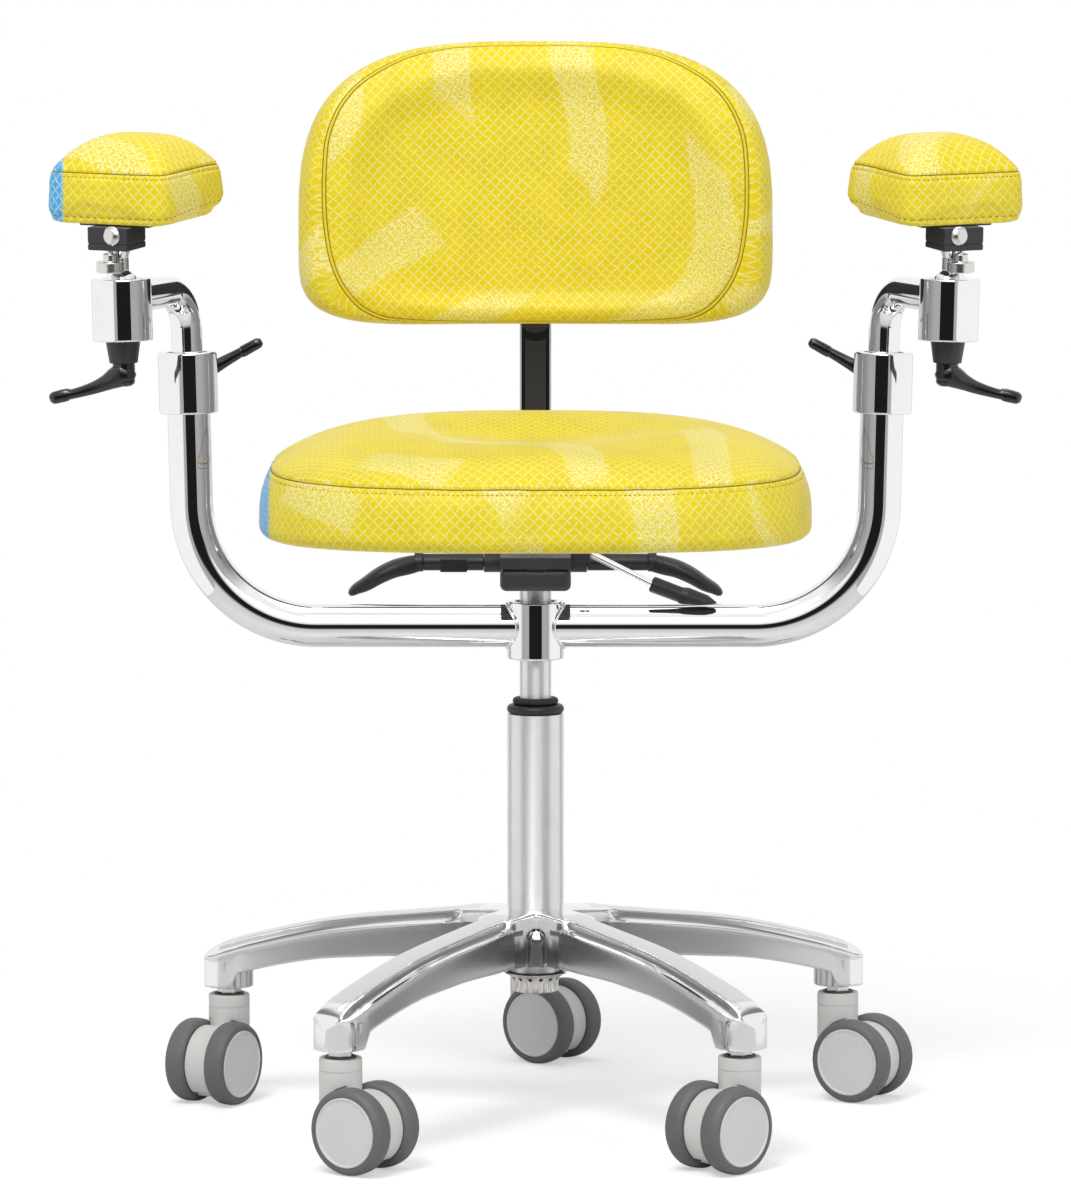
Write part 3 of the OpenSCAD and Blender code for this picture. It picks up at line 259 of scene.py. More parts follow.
class EffectGroups:
    """Shader node groups that several finishes share, each built once."""

    def __init__(self) -> None:
        """Builds every group."""
        self.grain = self._grain()
        self.smudge = self._smudge()
        self.lattice = self._lattice()
        self.bands = self._bands()

    @staticmethod
    def _start(name: str, inputs: Sequence[tuple[str, str, object]], outputs: Sequence[tuple[str, str]]
               ) -> tuple[NodeBench, Items, Items]:
        """Makes an empty group with named sockets.

        Args:
            name: Name of the group.
            inputs: Name, socket type and default of each input.
            outputs: Name and socket type of each output.

        Returns:
            The bench, the group's inputs and the places for its results.
        """
        tree = bpy.data.node_groups.new(name, "ShaderNodeTree")
        bench = NodeBench(tree)
        for label, kind, default in inputs:
            socket = tree.interface.new_socket(name=label, in_out="INPUT", socket_type=kind)
            if default is not None:
                socket.default_value = default
        for label, kind in outputs:
            tree.interface.new_socket(name=label, in_out="OUTPUT", socket_type=kind)
        return bench, bench.add("NodeGroupInput").outputs, bench.add("NodeGroupOutput").inputs

    def _grain(self) -> bpy.types.NodeTree:
        """Fine moulded grain and slow mottling; gives a height and a mottle value."""
        bench, given, result = self._start(
            "fine_grain",
            [("Vector", "NodeSocketVector", None), ("Grain", "NodeSocketFloat", 1200.0)],
            [("Height", "NodeSocketFloat"), ("Mottle", "NodeSocketFloat")])
        cells = bench.add("ShaderNodeTexVoronoi", {"Vector": given["Vector"], "Scale": given["Grain"]})
        fine = bench.noise(given["Vector"], given["Grain"], 2.0)
        bench.link(bench.math("ADD", cells.outputs["Distance"], fine), result["Height"])
        bench.link(bench.noise(given["Vector"], 22.0, 4.0), result["Mottle"])
        return bench.tree

    def _smudge(self) -> bpy.types.NodeTree:
        """Wiping marks and fine lines on metal; gives a smudge value and a line height."""
        bench, given, result = self._start(
            "wipe_marks",
            [("Vector", "NodeSocketVector", None), ("Lines", "NodeSocketFloat", 1.0)],
            [("Smudge", "NodeSocketFloat"), ("Line", "NodeSocketFloat")])
        broad = bench.noise(given["Vector"], 9.0, 5.0, 0.6)
        fine = bench.noise(given["Vector"], 70.0, 4.0, 0.6)
        both = bench.math("MULTIPLY", bench.spread(broad, 0.35, 0.75), bench.spread(fine, 0.3, 0.8))
        bench.link(both, result["Smudge"])
        squash = bench.add("ShaderNodeMapping", {"Vector": given["Vector"], "Scale": (1.0, 1.0, 0.02)})
        lines = bench.noise(squash.outputs["Vector"], 2600.0, 3.0, 0.7)
        bench.link(bench.math("MULTIPLY", lines, given["Lines"]), result["Line"])
        return bench.tree

    def _lattice(self) -> bpy.types.NodeTree:
        """Broken diagonal lattice of a printed weave; gives the share of pale ink."""
        bench, given, result = self._start(
            "woven_print",
            [("Vector", "NodeSocketVector", None), ("Pitch", "NodeSocketFloat", 0.0068),
             ("Width", "NodeSocketFloat", 0.14)],
            [("Ink", "NodeSocketFloat")])
        slant = (0, 0, math.radians(43))
        turned = bench.add("ShaderNodeMapping", {"Vector": given["Vector"], "Rotation": slant}).outputs["Vector"]
        wobble = bench.add("ShaderNodeTexNoise", {"Vector": turned, "Scale": 90.0}).outputs["Color"]
        moved = bench.add("ShaderNodeVectorMath", {0: wobble, 1: (0.0030, 0.0030, 0), 2: turned},
                          operation="MULTIPLY_ADD")
        parts = bench.split(moved.outputs[0])
        axes = [bench.math("DIVIDE", parts[i], given["Pitch"]) for i in (0, 1)]
        inks = []
        for along, across in ((0, 1), (1, 0)):
            row = bench.math("FLOOR", bench.math("ADD", axes[across], 0.5))
            near = bench.math("ABSOLUTE", bench.math("SUBTRACT", axes[across], row))
            line = bench.math("SUBTRACT", 1.0, bench.math("DIVIDE", near, given["Width"]), clamp=True)
            step = bench.math("MULTIPLY", bench.math("ADD", bench.math("ADD", axes[along], row), float(along)), 0.5)
            place = bench.math("ABSOLUTE", bench.math("SUBTRACT", bench.math("FRACT", step), 0.5))
            held = bench.spread(place, 0.34, 0.44, 1.0, 0.12)
            inks.append(bench.math("MULTIPLY", bench.spread(line, 0.0, 0.6), held))
        worn = bench.spread(bench.noise(given["Vector"], 420.0, 3.0), 0.34, 0.60, 0.35, 1.0)
        ink = bench.math("MULTIPLY", bench.math("MAXIMUM", inks[0], inks[1]), worn)
        bench.link(ink, result["Ink"])
        return bench.tree

    def _bands(self) -> bpy.types.NodeTree:
        """Wide drifting bands filled with stipple, a plain generic figure; gives the share of pale ink."""
        bench, given, result = self._start(
            "stippled_bands",
            [("Vector", "NodeSocketVector", None), ("Turn", "NodeSocketFloat", 0.0)],
            [("Ink", "NodeSocketFloat")])
        slow = bench.add("ShaderNodeTexNoise", {"Vector": given["Vector"], "Scale": 4.0, "Detail": 1.0})
        moved = bench.add("ShaderNodeVectorMath", {
            0: slow.outputs["Color"], 1: (0.10, 0.14, 0), 2: given["Vector"]}, operation="MULTIPLY_ADD")
        turned = bench.add("ShaderNodeVectorRotate", {"Vector": moved.outputs[0], "Angle": given["Turn"]},
                           rotation_type="Z_AXIS")
        parts = bench.split(turned.outputs[0])
        wave = bench.math("MULTIPLY", parts[0], 52.0)
        bow = bench.math("MULTIPLY", bench.math("SINE", bench.math("MULTIPLY", parts[1], 21.0)), 1.7)
        ripple = bench.math("SINE", bench.math("ADD", wave, bow))
        soft = bench.math("MULTIPLY_ADD", bench.noise(given["Vector"], 260.0, 2.0), 0.5, ripple)
        band = bench.spread(soft, 0.66, 0.86)
        fade = bench.spread(bench.noise(given["Vector"], 7.0, 0.0), 0.44, 0.50)
        stipple = bench.spread(bench.noise(given["Vector"], 520.0, 2.0, 0.7), 0.49, 0.55)
        ink = bench.math("MULTIPLY", bench.math("MULTIPLY", band, fade), stipple)
        bench.link(ink, result["Ink"])
        return bench.tree


@dataclass
class Paint:
    """Builds each finish's material once and gives it out."""

    made: dict[Finish, bpy.types.Material] = field(default_factory=dict)
    groups: Optional[EffectGroups] = None

    YELLOWS = ((0.80, 0.625, 0.001), (0.86, 0.685, 0.001))
    BLUE, PALE, BAND = (0.05, 0.44, 0.90), (0.92, 0.88, 0.38), (0.93, 0.91, 0.50)
    # Colour of duller unpolished metal, also used as painted shade and painted dark reflection on the casting.
    DULL_SHADE = (0.17, 0.175, 0.185)
    TURNS = {Finish.PRINT: 0.45, Finish.PRINT_SEAT: -0.6, Finish.PRINT_PAD: 1.1}
    STRIP_EDGES = {Finish.PRINT_SEAT: -0.2325, Finish.PRINT_PAD: -0.4065}

    def of(self, finish: Finish) -> bpy.types.Material:
        """The material of a finish.

        Args:
            finish: Which finish is wanted.

        Returns:
            Its material, built the first time it is asked for.
        """
        if self.groups is None:
            self.groups = EffectGroups()
        if finish not in self.made:
            if finish in METALS:
                self.made[finish] = self._metal(finish)
            elif finish in PLASTICS:
                self.made[finish] = self._plastic(finish)
            else:
                self.made[finish] = self._cover(finish)
        return self.made[finish]

    @staticmethod
    def _blank(finish: Finish) -> tuple[bpy.types.Material, NodeBench, bpy.types.Node, Socket]:
        """A material with only a Principled shader and its output, and the place on the piece."""
        material, bench = new_material(finish.value)
        shader = bench.add("ShaderNodeBsdfPrincipled")
        bench.add("ShaderNodeOutputMaterial", {0: shader.outputs[0]})
        return material, bench, shader, bench.add("ShaderNodeTexCoord").outputs["Object"]

    def _metal(self, finish: Finish) -> bpy.types.Material:
        """A metal with wiping marks and, where it is brushed, fine lines; the casting's colour also takes painted
        shade.
        """
        look = METALS[finish]
        material, bench, shader, place = self._blank(finish)
        marks = bench.group(self.groups.smudge, place, Lines=look.brush)
        rough = bench.spread(marks["Smudge"], 0.0, 1.0, look.rough, look.rough + look.smudge, False)
        bright = look.colour
        if finish is Finish.CASTING:
            # The casting darkens by a mark on its points: partly duller unpolished faces, partly painted shade and
            # painted dark reflections.
            polish_and_shade = bench.add("ShaderNodeAttribute", attribute_name="polish_and_shade").outputs["Fac"]
            rough = bench.math("ADD", rough, bench.spread(polish_and_shade, 0.0, 1.0, 0.26, 0.0, False))
            bright = bench.mix(polish_and_shade, self.DULL_SHADE, bright)
        if finish is Finish.SATIN:
            bench.fill(shader, {"Anisotropic": 0.9, "Anisotropic Rotation": 0.25})
        dark = tuple(c * 0.86 for c in look.colour)
        wiped = 0.0 if look.ripple else 0.5
        colour = bench.mix(bench.math("MULTIPLY", marks["Smudge"], wiped), bright, dark)
        bench.fill(shader, {"Metallic": 1.0, "Roughness": rough, "Base Color": colour})
        height = marks["Line"]
        if look.ripple:
            cast = bench.noise(place, 38.0, 1.0)
            height = bench.math("MULTIPLY_ADD", cast, 6.0 * look.ripple, height)
        bench.bump(height, 0.00006, 0.25, shader)
        return material

    def _plastic(self, finish: Finish) -> bpy.types.Material:
        """A moulded or painted surface with fine grain and slight mottling."""
        look = PLASTICS[finish]
        material, bench, shader, place = self._blank(finish)
        grain = bench.group(self.groups.grain, place, Grain=look.grain)
        pale = tuple(min(1.0, c * (1 + look.mottle)) for c in look.colour)
        dark = tuple(c * (1 - look.mottle) for c in look.colour)
        rough = bench.spread(grain["Mottle"], 0.3, 0.7, look.rough - 0.04, look.rough + 0.06, False)
        bench.fill(shader, {"Base Color": bench.mix(grain["Mottle"], dark, pale), "Roughness": rough,
                            "Coat Weight": look.coat, "Coat Roughness": 0.08})
        bench.bump(grain["Height"], look.depth, 0.5, shader)
        return material

    def _cover(self, finish: Finish) -> bpy.types.Material:
        """The printed yellow cover; the seat's and one pad's also have a blue strip at one end."""
        material, bench, shader, place = self._blank(finish)
        cloth = bench.add("ShaderNodeUVMap", uv_map="print").outputs[0]
        weave = bench.group(self.groups.lattice, cloth)["Ink"]
        bands = bench.group(self.groups.bands, cloth, Turn=self.TURNS[finish])["Ink"]
        slow = bench.noise(cloth, 30.0, 3.0)
        ground = bench.mix(bench.spread(slow, 0.3, 0.7), *self.YELLOWS)
        speck = bench.spread(bench.noise(cloth, 520.0, 2.0), 0.54, 0.70, 0.0, 0.16)
        if finish in self.STRIP_EDGES:
            edge = self.STRIP_EDGES[finish]
            rag = bench.math("MULTIPLY_ADD", bench.noise(cloth, 160.0, 2.0), 0.003, bench.split(place)[0])
            strip = bench.spread(rag, edge, edge + 0.004, 1.0, 0.0)
            ground = bench.mix(strip, ground, self.BLUE)
        inked = bench.mix(bench.math("MULTIPLY", weave, 0.68), ground, self.PALE)
        stippled = bench.mix(bench.math("MULTIPLY", bands, 0.78), inked, self.BAND)
        rough = bench.spread(slow, 0.2, 0.8, 0.36, 0.46, False)
        bench.fill(shader, {"Base Color": bench.mix(speck, stippled, self.PALE),
                            "Roughness": bench.math("MULTIPLY_ADD", weave, 0.10, rough),
                            "Specular IOR Level": 0.2})
        hide = bench.group(self.groups.grain, cloth, Grain=1500.0)
        height = bench.math("MULTIPLY_ADD", weave, -0.5, hide["Height"])
        bench.bump(height, 0.00010, 0.35, shader)
        return material


# Modelling

class Bench:
    """Modelling moves shared by the sub-assemblies, made with Blender's operators."""

    @staticmethod
    def pick(piece: Piece) -> None:
        """Selects one piece and nothing else."""
        bpy.ops.object.select_all(action="DESELECT")
        piece.select_set(True)
        bpy.context.view_layer.objects.active = piece

    @staticmethod
    @contextmanager
    def editing(piece: Piece) -> Iterator[None]:
        """Edit mode on one piece, with all of it selected."""
        Bench.pick(piece)
        bpy.ops.object.mode_set(mode="EDIT")
        bpy.ops.mesh.select_all(action="SELECT")
        yield
        bpy.ops.object.mode_set(mode="OBJECT")

    @staticmethod
    def from_points(name: str, points: Sequence, edges: Sequence = (), faces: Sequence = ()) -> Piece:
        """A new piece from its corner points, edges and faces."""
        mesh = bpy.data.meshes.new(name)
        mesh.from_pydata([tuple(p) for p in points], list(edges), [tuple(f) for f in faces])
        mesh.update()
        piece = bpy.data.objects.new(name, mesh)
        bpy.context.scene.collection.objects.link(piece)
        return piece

    @staticmethod
    def modify(piece: Piece, kind: str, **settings: object) -> Piece:
        """Adds one modifier with its settings and applies it."""
        Bench.pick(piece)
        modifier = piece.modifiers.new(kind.lower(), kind)
        for key, value in settings.items():
            setattr(modifier, key, value)
        bpy.ops.object.modifier_apply(modifier=modifier.name)
        return piece

    @staticmethod
    def tidy(piece: Piece, distance: float = 1e-6) -> Piece:
        """Merges doubled points and turns every face outwards."""
        with Bench.editing(piece):
            bpy.ops.mesh.remove_doubles(threshold=distance)
            bpy.ops.mesh.normals_make_consistent(inside=False)
        return piece

    @staticmethod
    def smooth(piece: Piece, degrees: float = 35.0) -> Piece:
        """Shades smooth, with edges sharper than an angle left crisp."""
        Bench.pick(piece)
        bpy.ops.object.shade_smooth_by_angle(angle=math.radians(degrees))
        return piece

    @staticmethod
    def place(piece: Piece, matrix: Matrix) -> Piece:
        """Moves the mesh itself, so that the object stays at the origin."""
        piece.data.transform(matrix)
        if matrix.determinant() < 0:
            piece.data.flip_normals()
        piece.data.update()
        return piece

    @staticmethod
    def turned(name: str, profile: Sequence[tuple[float, float]], steps: int = 72, degrees: float = 32.0
               ) -> Piece:
        """A turned piece about Z.

        Args:
            name: Name of the piece.
            profile: Radius and height of each point of its outline, in millimetres.
            steps: Number of steps round.
            degrees: Edges sharper than this stay crisp.

        Returns:
            The new piece.
        """
        closed = profile[0][0] > 0 or profile[-1][0] > 0
        points = [(r * MM, 0.0, z * MM) for r, z in Bench.supported(profile, closed)]
        count = len(points)
        edges = [(i, i + 1) for i in range(count - 1)] + ([(count - 1, 0)] if closed else [])
        piece = Bench.from_points(name, points, edges)
        with Bench.editing(piece):
            bpy.ops.mesh.spin(steps=steps, angle=2 * math.pi, center=(0, 0, 0), axis=(0, 0, 1))
        return Bench.smooth(Bench.tidy(piece, 2e-6), degrees)

    @staticmethod
    def supported(profile: Sequence[tuple[float, float]], closed: bool) -> list[tuple[float, float]]:
        """Adds points near both ends of each long straight part, so that it shades straight.

        Args:
            profile: Points of the outline, in millimetres.
            closed: Whether the last point joins the first one.

        Returns:
            The outline with the added points.
        """
        result = []
        ends = list(profile[1:]) + ([profile[0]] if closed else [])
        for here, there in zip(profile, ends):
            result.append(here)
            start, end = Vector(here), Vector(there)
            length = (end - start).length
            if length > 3:
                result += [tuple(start.lerp(end, 0.4 / length)), tuple(start.lerp(end, 1 - 0.4 / length))]
        return result if closed else result + [profile[-1]]

    @staticmethod
    def rounded(profile: Sequence[tuple[float, float]], radius: float, steps: int = 4
                ) -> list[tuple[float, float]]:
        """Rounds the outer corners of a turned profile.

        Args:
            profile: Points of the outline, in millimetres; those on the axis stay sharp.
            radius: Corner radius, in millimetres.
            steps: Number of steps in each corner.

        Returns:
            The outline with its corners rounded.
        """
        result = []
        count = len(profile)
        for i, corner in enumerate(profile):
            if corner[0] <= 0:
                result.append(corner)
                continue
            here = Vector(corner)
            before, after = Vector(profile[i - 1]), Vector(profile[(i + 1) % count])
            cut = min(radius, (before - here).length * 0.45, (after - here).length * 0.45)
            first = here + (before - here).normalized() * cut
            last = here + (after - here).normalized() * cut
            for k in range(steps + 1):
                t = k / steps
                result.append(tuple(first * (1 - t) ** 2 + here * 2 * t * (1 - t) + last * t * t))
        return result

    @staticmethod
    def tube(name: str, path: Sequence[Sequence[float]], radius: float, closed: bool = False, fine: int = 12
             ) -> Piece:
        """A round tube along a path of points in metres, with closed ends."""
        curve = bpy.data.curves.new(name, "CURVE")
        curve.dimensions = "3D"
        curve.bevel_depth = radius
        curve.bevel_resolution = fine
        curve.use_fill_caps = not closed
        spline = curve.splines.new("POLY")
        spline.points.add(len(path) - 1)
        for point, place in zip(spline.points, path):
            point.co = (*place, 1.0)
        spline.use_cyclic_u = closed
        drawn = bpy.data.objects.new(name, curve)
        bpy.context.scene.collection.objects.link(drawn)
        Bench.pick(drawn)
        bpy.ops.object.convert(target="MESH")
        piece = bpy.context.object
        piece.name = name
        piece.data.name = name
        return Bench.smooth(Bench.tidy(piece), 50)

    @staticmethod
    def loft(name: str, rings: Rings, closed: bool = False) -> Piece:
        """A skin over rings of points in metres, closed at both ends or joined round."""
        count, width = len(rings), len(rings[0])
        points = [p for ring in rings for p in ring]
        faces = []
        for i in range(count if closed else count - 1):
            for j in range(width):
                a, b = i * width + j, i * width + (j + 1) % width
                below, above = ((i + 1) % count) * width + j, ((i + 1) % count) * width + (j + 1) % width
                faces.append((a, b, above, below))
        if not closed:
            for ring, base in ((rings[0], 0), (rings[-1], (count - 1) * width)):
                middle = len(points)
                points.append(np.mean(ring, axis=0))
                faces += [(base + j, middle, base + (j + 1) % width) if base == 0
                          else (base + j, base + (j + 1) % width, middle) for j in range(width)]
        piece = Bench.from_points(name, points, (), faces)
        return Bench.tidy(piece)

    @staticmethod
    def block(name: str, low: Sequence[float], high: Sequence[float], bevel: float, segments: int = 3
              ) -> Piece:
        """A block between two corners in millimetres, with its edges rounded."""
        low_v, high_v = Vector(low) * MM, Vector(high) * MM
        bpy.ops.object.select_all(action="DESELECT")
        bpy.ops.mesh.primitive_cube_add(size=1)
        piece = bpy.context.object
        piece.name = name
        piece.data.name = name
        piece.data.transform(Matrix.Translation((low_v + high_v) / 2) @ Matrix.Diagonal((*(high_v - low_v), 1)))
        with Bench.editing(piece):
            bpy.ops.mesh.bevel(offset=bevel * MM, segments=segments, affect="EDGES")
        return Bench.smooth(piece, 40)

    @staticmethod
    def join(name: str, pieces: Sequence[Piece]) -> Piece:
        """Joins several meshes into one piece."""
        bpy.ops.object.select_all(action="DESELECT")
        for piece in pieces:
            piece.select_set(True)
        bpy.context.view_layer.objects.active = pieces[0]
        bpy.ops.object.join()
        pieces[0].name = name
        pieces[0].data.name = name
        return pieces[0]

    @staticmethod
    def twin(piece: Piece, name: str) -> Piece:
        """A copy with its own mesh."""
        copy = piece.copy()
        copy.data = piece.data.copy()
        copy.name = name
        copy.data.name = name
        bpy.context.scene.collection.objects.link(copy)
        return copy

    @staticmethod
    def handle(name: str, stations: Sequence[Sequence[float]], girth: float = 1.0) -> Piece:
        """A lever's grip along a line in the XZ plane.

        Args:
            name: Name of the piece.
            stations: x, z, half thickness and half width of each place, in millimetres.
            girth: How much thicker than its stations the grip is made.

        Returns:
            The grip, closed and smooth.
        """
        fine = smooth_path(stations, 6)
        slope = np.gradient(fine[:, :2], axis=0)
        rings = []
        for (x, z, thick, wide), (dx, dz) in zip(fine, slope):
            length = math.hypot(dx, dz)
            section = soft_outline(28, wide * girth, thick * girth, thick * girth, 2.6, 2.6)
            rings.append(np.column_stack([x - section[:, 1] * dz / length, section[:, 0],
                                          z + section[:, 1] * dx / length]) * MM)
        return Bench.smooth(Bench.loft(name, rings), 60)


class Assembly:
    """What every sub-assembly shares: paint and the way a finished piece joins the chair."""

    def __init__(self, paint: Paint) -> None:
        """Keeps the paint shop.

        Args:
            paint: Gives out materials.
        """
        self.paint = paint

    def add(self, piece: Piece, body: str, slot: str, finish: Finish, *nodes: str) -> Piece:
        """Dresses a piece and lets it ride on its body.

        Args:
            piece: The finished mesh.
            body: The body that it moves with.
            slot: Not used.
            finish: Its finish here.
            nodes: CAD nodes that it stands for.

        Returns:
            The same piece.
        """
        if finish not in (*COVERS, Finish.THREAD):
            Bench.modify(piece, "WEIGHTED_NORMAL", keep_sharp=True, weight=50)
        piece.data.materials.clear()
        piece.data.materials.append(self.paint.of(finish))
        piece.visible_glossy = finish not in COVERS
        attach(piece, body)
        if nodes:
            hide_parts(*nodes)
        LOG.info("piece %s on %s", piece.name, body)
        return piece


def smooth_path(points: Sequence[Sequence[float]], steps: int) -> np.ndarray:
    """A smooth curve through points of any width.

    Args:
        points: Places that the curve goes through, with any number of columns.
        steps: Number of steps between two places.

    Returns:
        The finer list of places.
    """
    array = np.array(points, float)
    padded = np.vstack([2 * array[0] - array[1], array, 2 * array[-1] - array[-2]])
    result = []
    for i in range(1, len(padded) - 2):
        p0, p1, p2, p3 = padded[i - 1:i + 3]
        for k in range(steps):
            t = k / steps
            result.append(0.5 * (2 * p1 + (p2 - p0) * t + (2 * p0 - 5 * p1 + 4 * p2 - p3) * t * t
                                 + (3 * p1 - p0 - 3 * p2 + p3) * t ** 3))
    result.append(padded[-2])
    return np.array(result)


def soft_outline(count: int, half: float, front: float, rear: float, power_front: float, power_rear: float
                 ) -> np.ndarray:
    """A cushion's outline, squarer than an ellipse, in the plane."""
    angle = np.linspace(0, 2 * np.pi, count, endpoint=False)
    c, s = np.cos(angle), np.sin(angle)
    power = np.where(s < 0, power_front, power_rear)
    reach = np.where(s < 0, front, rear)
    return np.stack([half * np.sign(c) * np.abs(c) ** (2 / power),
                     reach * np.sign(s) * np.abs(s) ** (2 / power)], axis=1)


def run_along(path: np.ndarray) -> np.ndarray:
    """How far along a path each of its places is."""
    return np.concatenate([[0], np.cumsum(np.linalg.norm(np.diff(path, axis=0), axis=1))])


def sample(path: np.ndarray, run: np.ndarray, want: np.ndarray) -> np.ndarray:
    """The places at wanted distances along a path."""
    return np.stack([np.interp(want, run, path[:, i]) for i in range(path.shape[1])], axis=1)


def even_outline(outline: np.ndarray, count: int) -> np.ndarray:
    """The same closed outline with its points evenly spaced."""
    closed = np.vstack([outline, outline[:1]])
    run = run_along(closed)
    return sample(closed, run, np.linspace(0, run[-1], count, endpoint=False))


def search_tree(places: np.ndarray) -> KDTree:
    """A search tree over places, flat or in space."""
    tree = KDTree(len(places))
    for i, place in enumerate(places):
        tree.insert((*place, 0.0)[:3], i)
    tree.balance()
    return tree


# Upholstery

@dataclass
class Cover:
    """A padded piece: a closed form, puffed, seamed and sewn in its own frame, and then put in place."""

    name: str
    rings: Rings
    voxel: float
    cap: float
    still: Callable[[np.ndarray], np.ndarray]
    top_panel: Callable[[np.ndarray], np.ndarray]
    outline: np.ndarray
    depth_axis: int
    mapping: Mapping

    CLOTH = {"quality": 5, "use_pressure": True, "uniform_pressure_force": 4.0, "tension_stiffness": 12,
             "compression_stiffness": 12, "bending_stiffness": 0.6}
    FRAMES = 20

    def build(self) -> Piece:
        """Makes the form, puffs it as cloth over foam, and leaves it in its own frame."""
        piece = Bench.loft(self.name, self.rings)
        Bench.modify(piece, "REMESH", mode="VOXEL", voxel_size=self.voxel)
        Bench.modify(piece, "SMOOTH", factor=0.5, iterations=4)
        self._puff(piece)
        Bench.modify(piece, "SUBSURF", levels=1, render_levels=1)
        self.piece = piece
        return piece

    def _puff(self, piece: Piece) -> None:
        """Runs the cloth under light pressure and lets no point move further than the cap."""
        start = places_of(piece)
        cloth = piece.modifiers.new("cloth", "CLOTH")
        for key, value in self.CLOTH.items():
            setattr(cloth.settings, key, value)
        cloth.settings.effector_weights.gravity = 0.0
        cloth.point_cache.frame_end = self.FRAMES
        scene = bpy.context.scene
        for step in range(1, self.FRAMES + 1):
            scene.frame_set(step)
        evaluated = piece.evaluated_get(bpy.context.evaluated_depsgraph_get())
        moves = read(evaluated.data.vertices, "co", 3) - start
        scene.frame_set(1)
        piece.modifiers.remove(cloth)
        length = np.linalg.norm(moves, axis=1, keepdims=True)
        moves *= np.minimum(1.0, self.cap / np.maximum(length, 1e-9)) * (1 - self.still(start))[:, None]
        move_to(piece, start + moves)

    def settle(self, path: np.ndarray, lift: float, soften: int = 3) -> np.ndarray:
        """Drops a closed path onto the surface and evens it out.

        Args:
            path: Places near the surface.
            lift: Height over the surface, in metres.
            soften: How many neighbours on each side a place is averaged with.

        Returns:
            The places on the surface, each with the surface's direction.
        """
        tree = BVHTree.FromPolygons([v.co for v in self.piece.data.vertices],
                                    [tuple(f.vertices) for f in self.piece.data.polygons])
        result = []
        for place in path:
            hit, normal, _, _ = tree.find_nearest(Vector(place))
            result.append([*(hit + normal * lift), *normal])
        found = np.array(result)
        return np.mean([np.roll(found, k, axis=0) for k in range(-soften, soften + 1)], axis=0)

    def refine(self, path: np.ndarray, reach: float) -> None:
        """Cuts the faces near a path into smaller ones."""
        near = search_tree(path[:, :3])
        mesh = self.piece.data
        picked = [near.find(face.center)[2] < reach for face in mesh.polygons]
        Bench.pick(self.piece)
        bpy.ops.object.mode_set(mode="EDIT")
        bpy.ops.mesh.select_mode(type="FACE")
        bpy.ops.mesh.select_all(action="DESELECT")
        bpy.ops.object.mode_set(mode="OBJECT")
        mesh.polygons.foreach_set("select", picked)
        bpy.ops.object.mode_set(mode="EDIT")
        bpy.ops.mesh.subdivide(number_cuts=1)
        bpy.ops.object.mode_set(mode="OBJECT")

    def groove(self, path: np.ndarray, depth: float, width: float) -> None:
        """Draws the surface in along a path, as thread pulls it."""
        near = search_tree(path[:, :3])
        places = places_of(self.piece)
        for vertex in self.piece.data.vertices:
            _, _, gap = near.find(vertex.co)
            if gap < 3 * width:
                places[vertex.index] -= np.array(vertex.normal) * depth * math.exp(-(gap / width) ** 2)
        move_to(self.piece, places)

    def lay_print(self) -> None:
        """Gives each panel its own flat map in metres, with the side panels unrolled along the outline."""
        mesh = self.piece.data
        places = places_of(self.piece)
        closed = np.vstack([self.outline, self.outline[:1]])
        run = run_along(closed)
        near = search_tree(self.outline)
        flat_axes = [a for a in (0, 1, 2) if a != self.depth_axis]
        flat = places[:, flat_axes]
        nearest = np.array([near.find((*p, 0.0))[1] for p in flat])
        ahead, behind = closed[nearest + 1], closed[nearest - 1 + (nearest == 0) * len(self.outline)]
        way = ahead - behind
        share = np.sum((flat - closed[nearest]) * way, axis=1) / np.linalg.norm(way, axis=1)
        along = run[nearest] + share
        top = self.top_panel(read(mesh.polygons, "center", 3))
        corners = read(mesh.loops, "vertex_index", kind=np.int32)
        starts, totals = (read(mesh.polygons, key, kind=np.int32) for key in ("loop_start", "loop_total"))
        owner = np.repeat(np.arange(len(starts)), totals)
        uv = np.where(top[owner][:, None], flat[corners],
                      np.stack([along[corners] + 1.0, places[corners, self.depth_axis]], axis=1))
        first = along[corners[starts]][owner]
        jump = np.round((along[corners] - first) / run[-1]) * run[-1]
        uv[:, 0] -= np.where(top[owner], 0.0, jump)
        layer = mesh.uv_layers.new(name="print")
        layer.data.foreach_set("uv", uv.ravel())

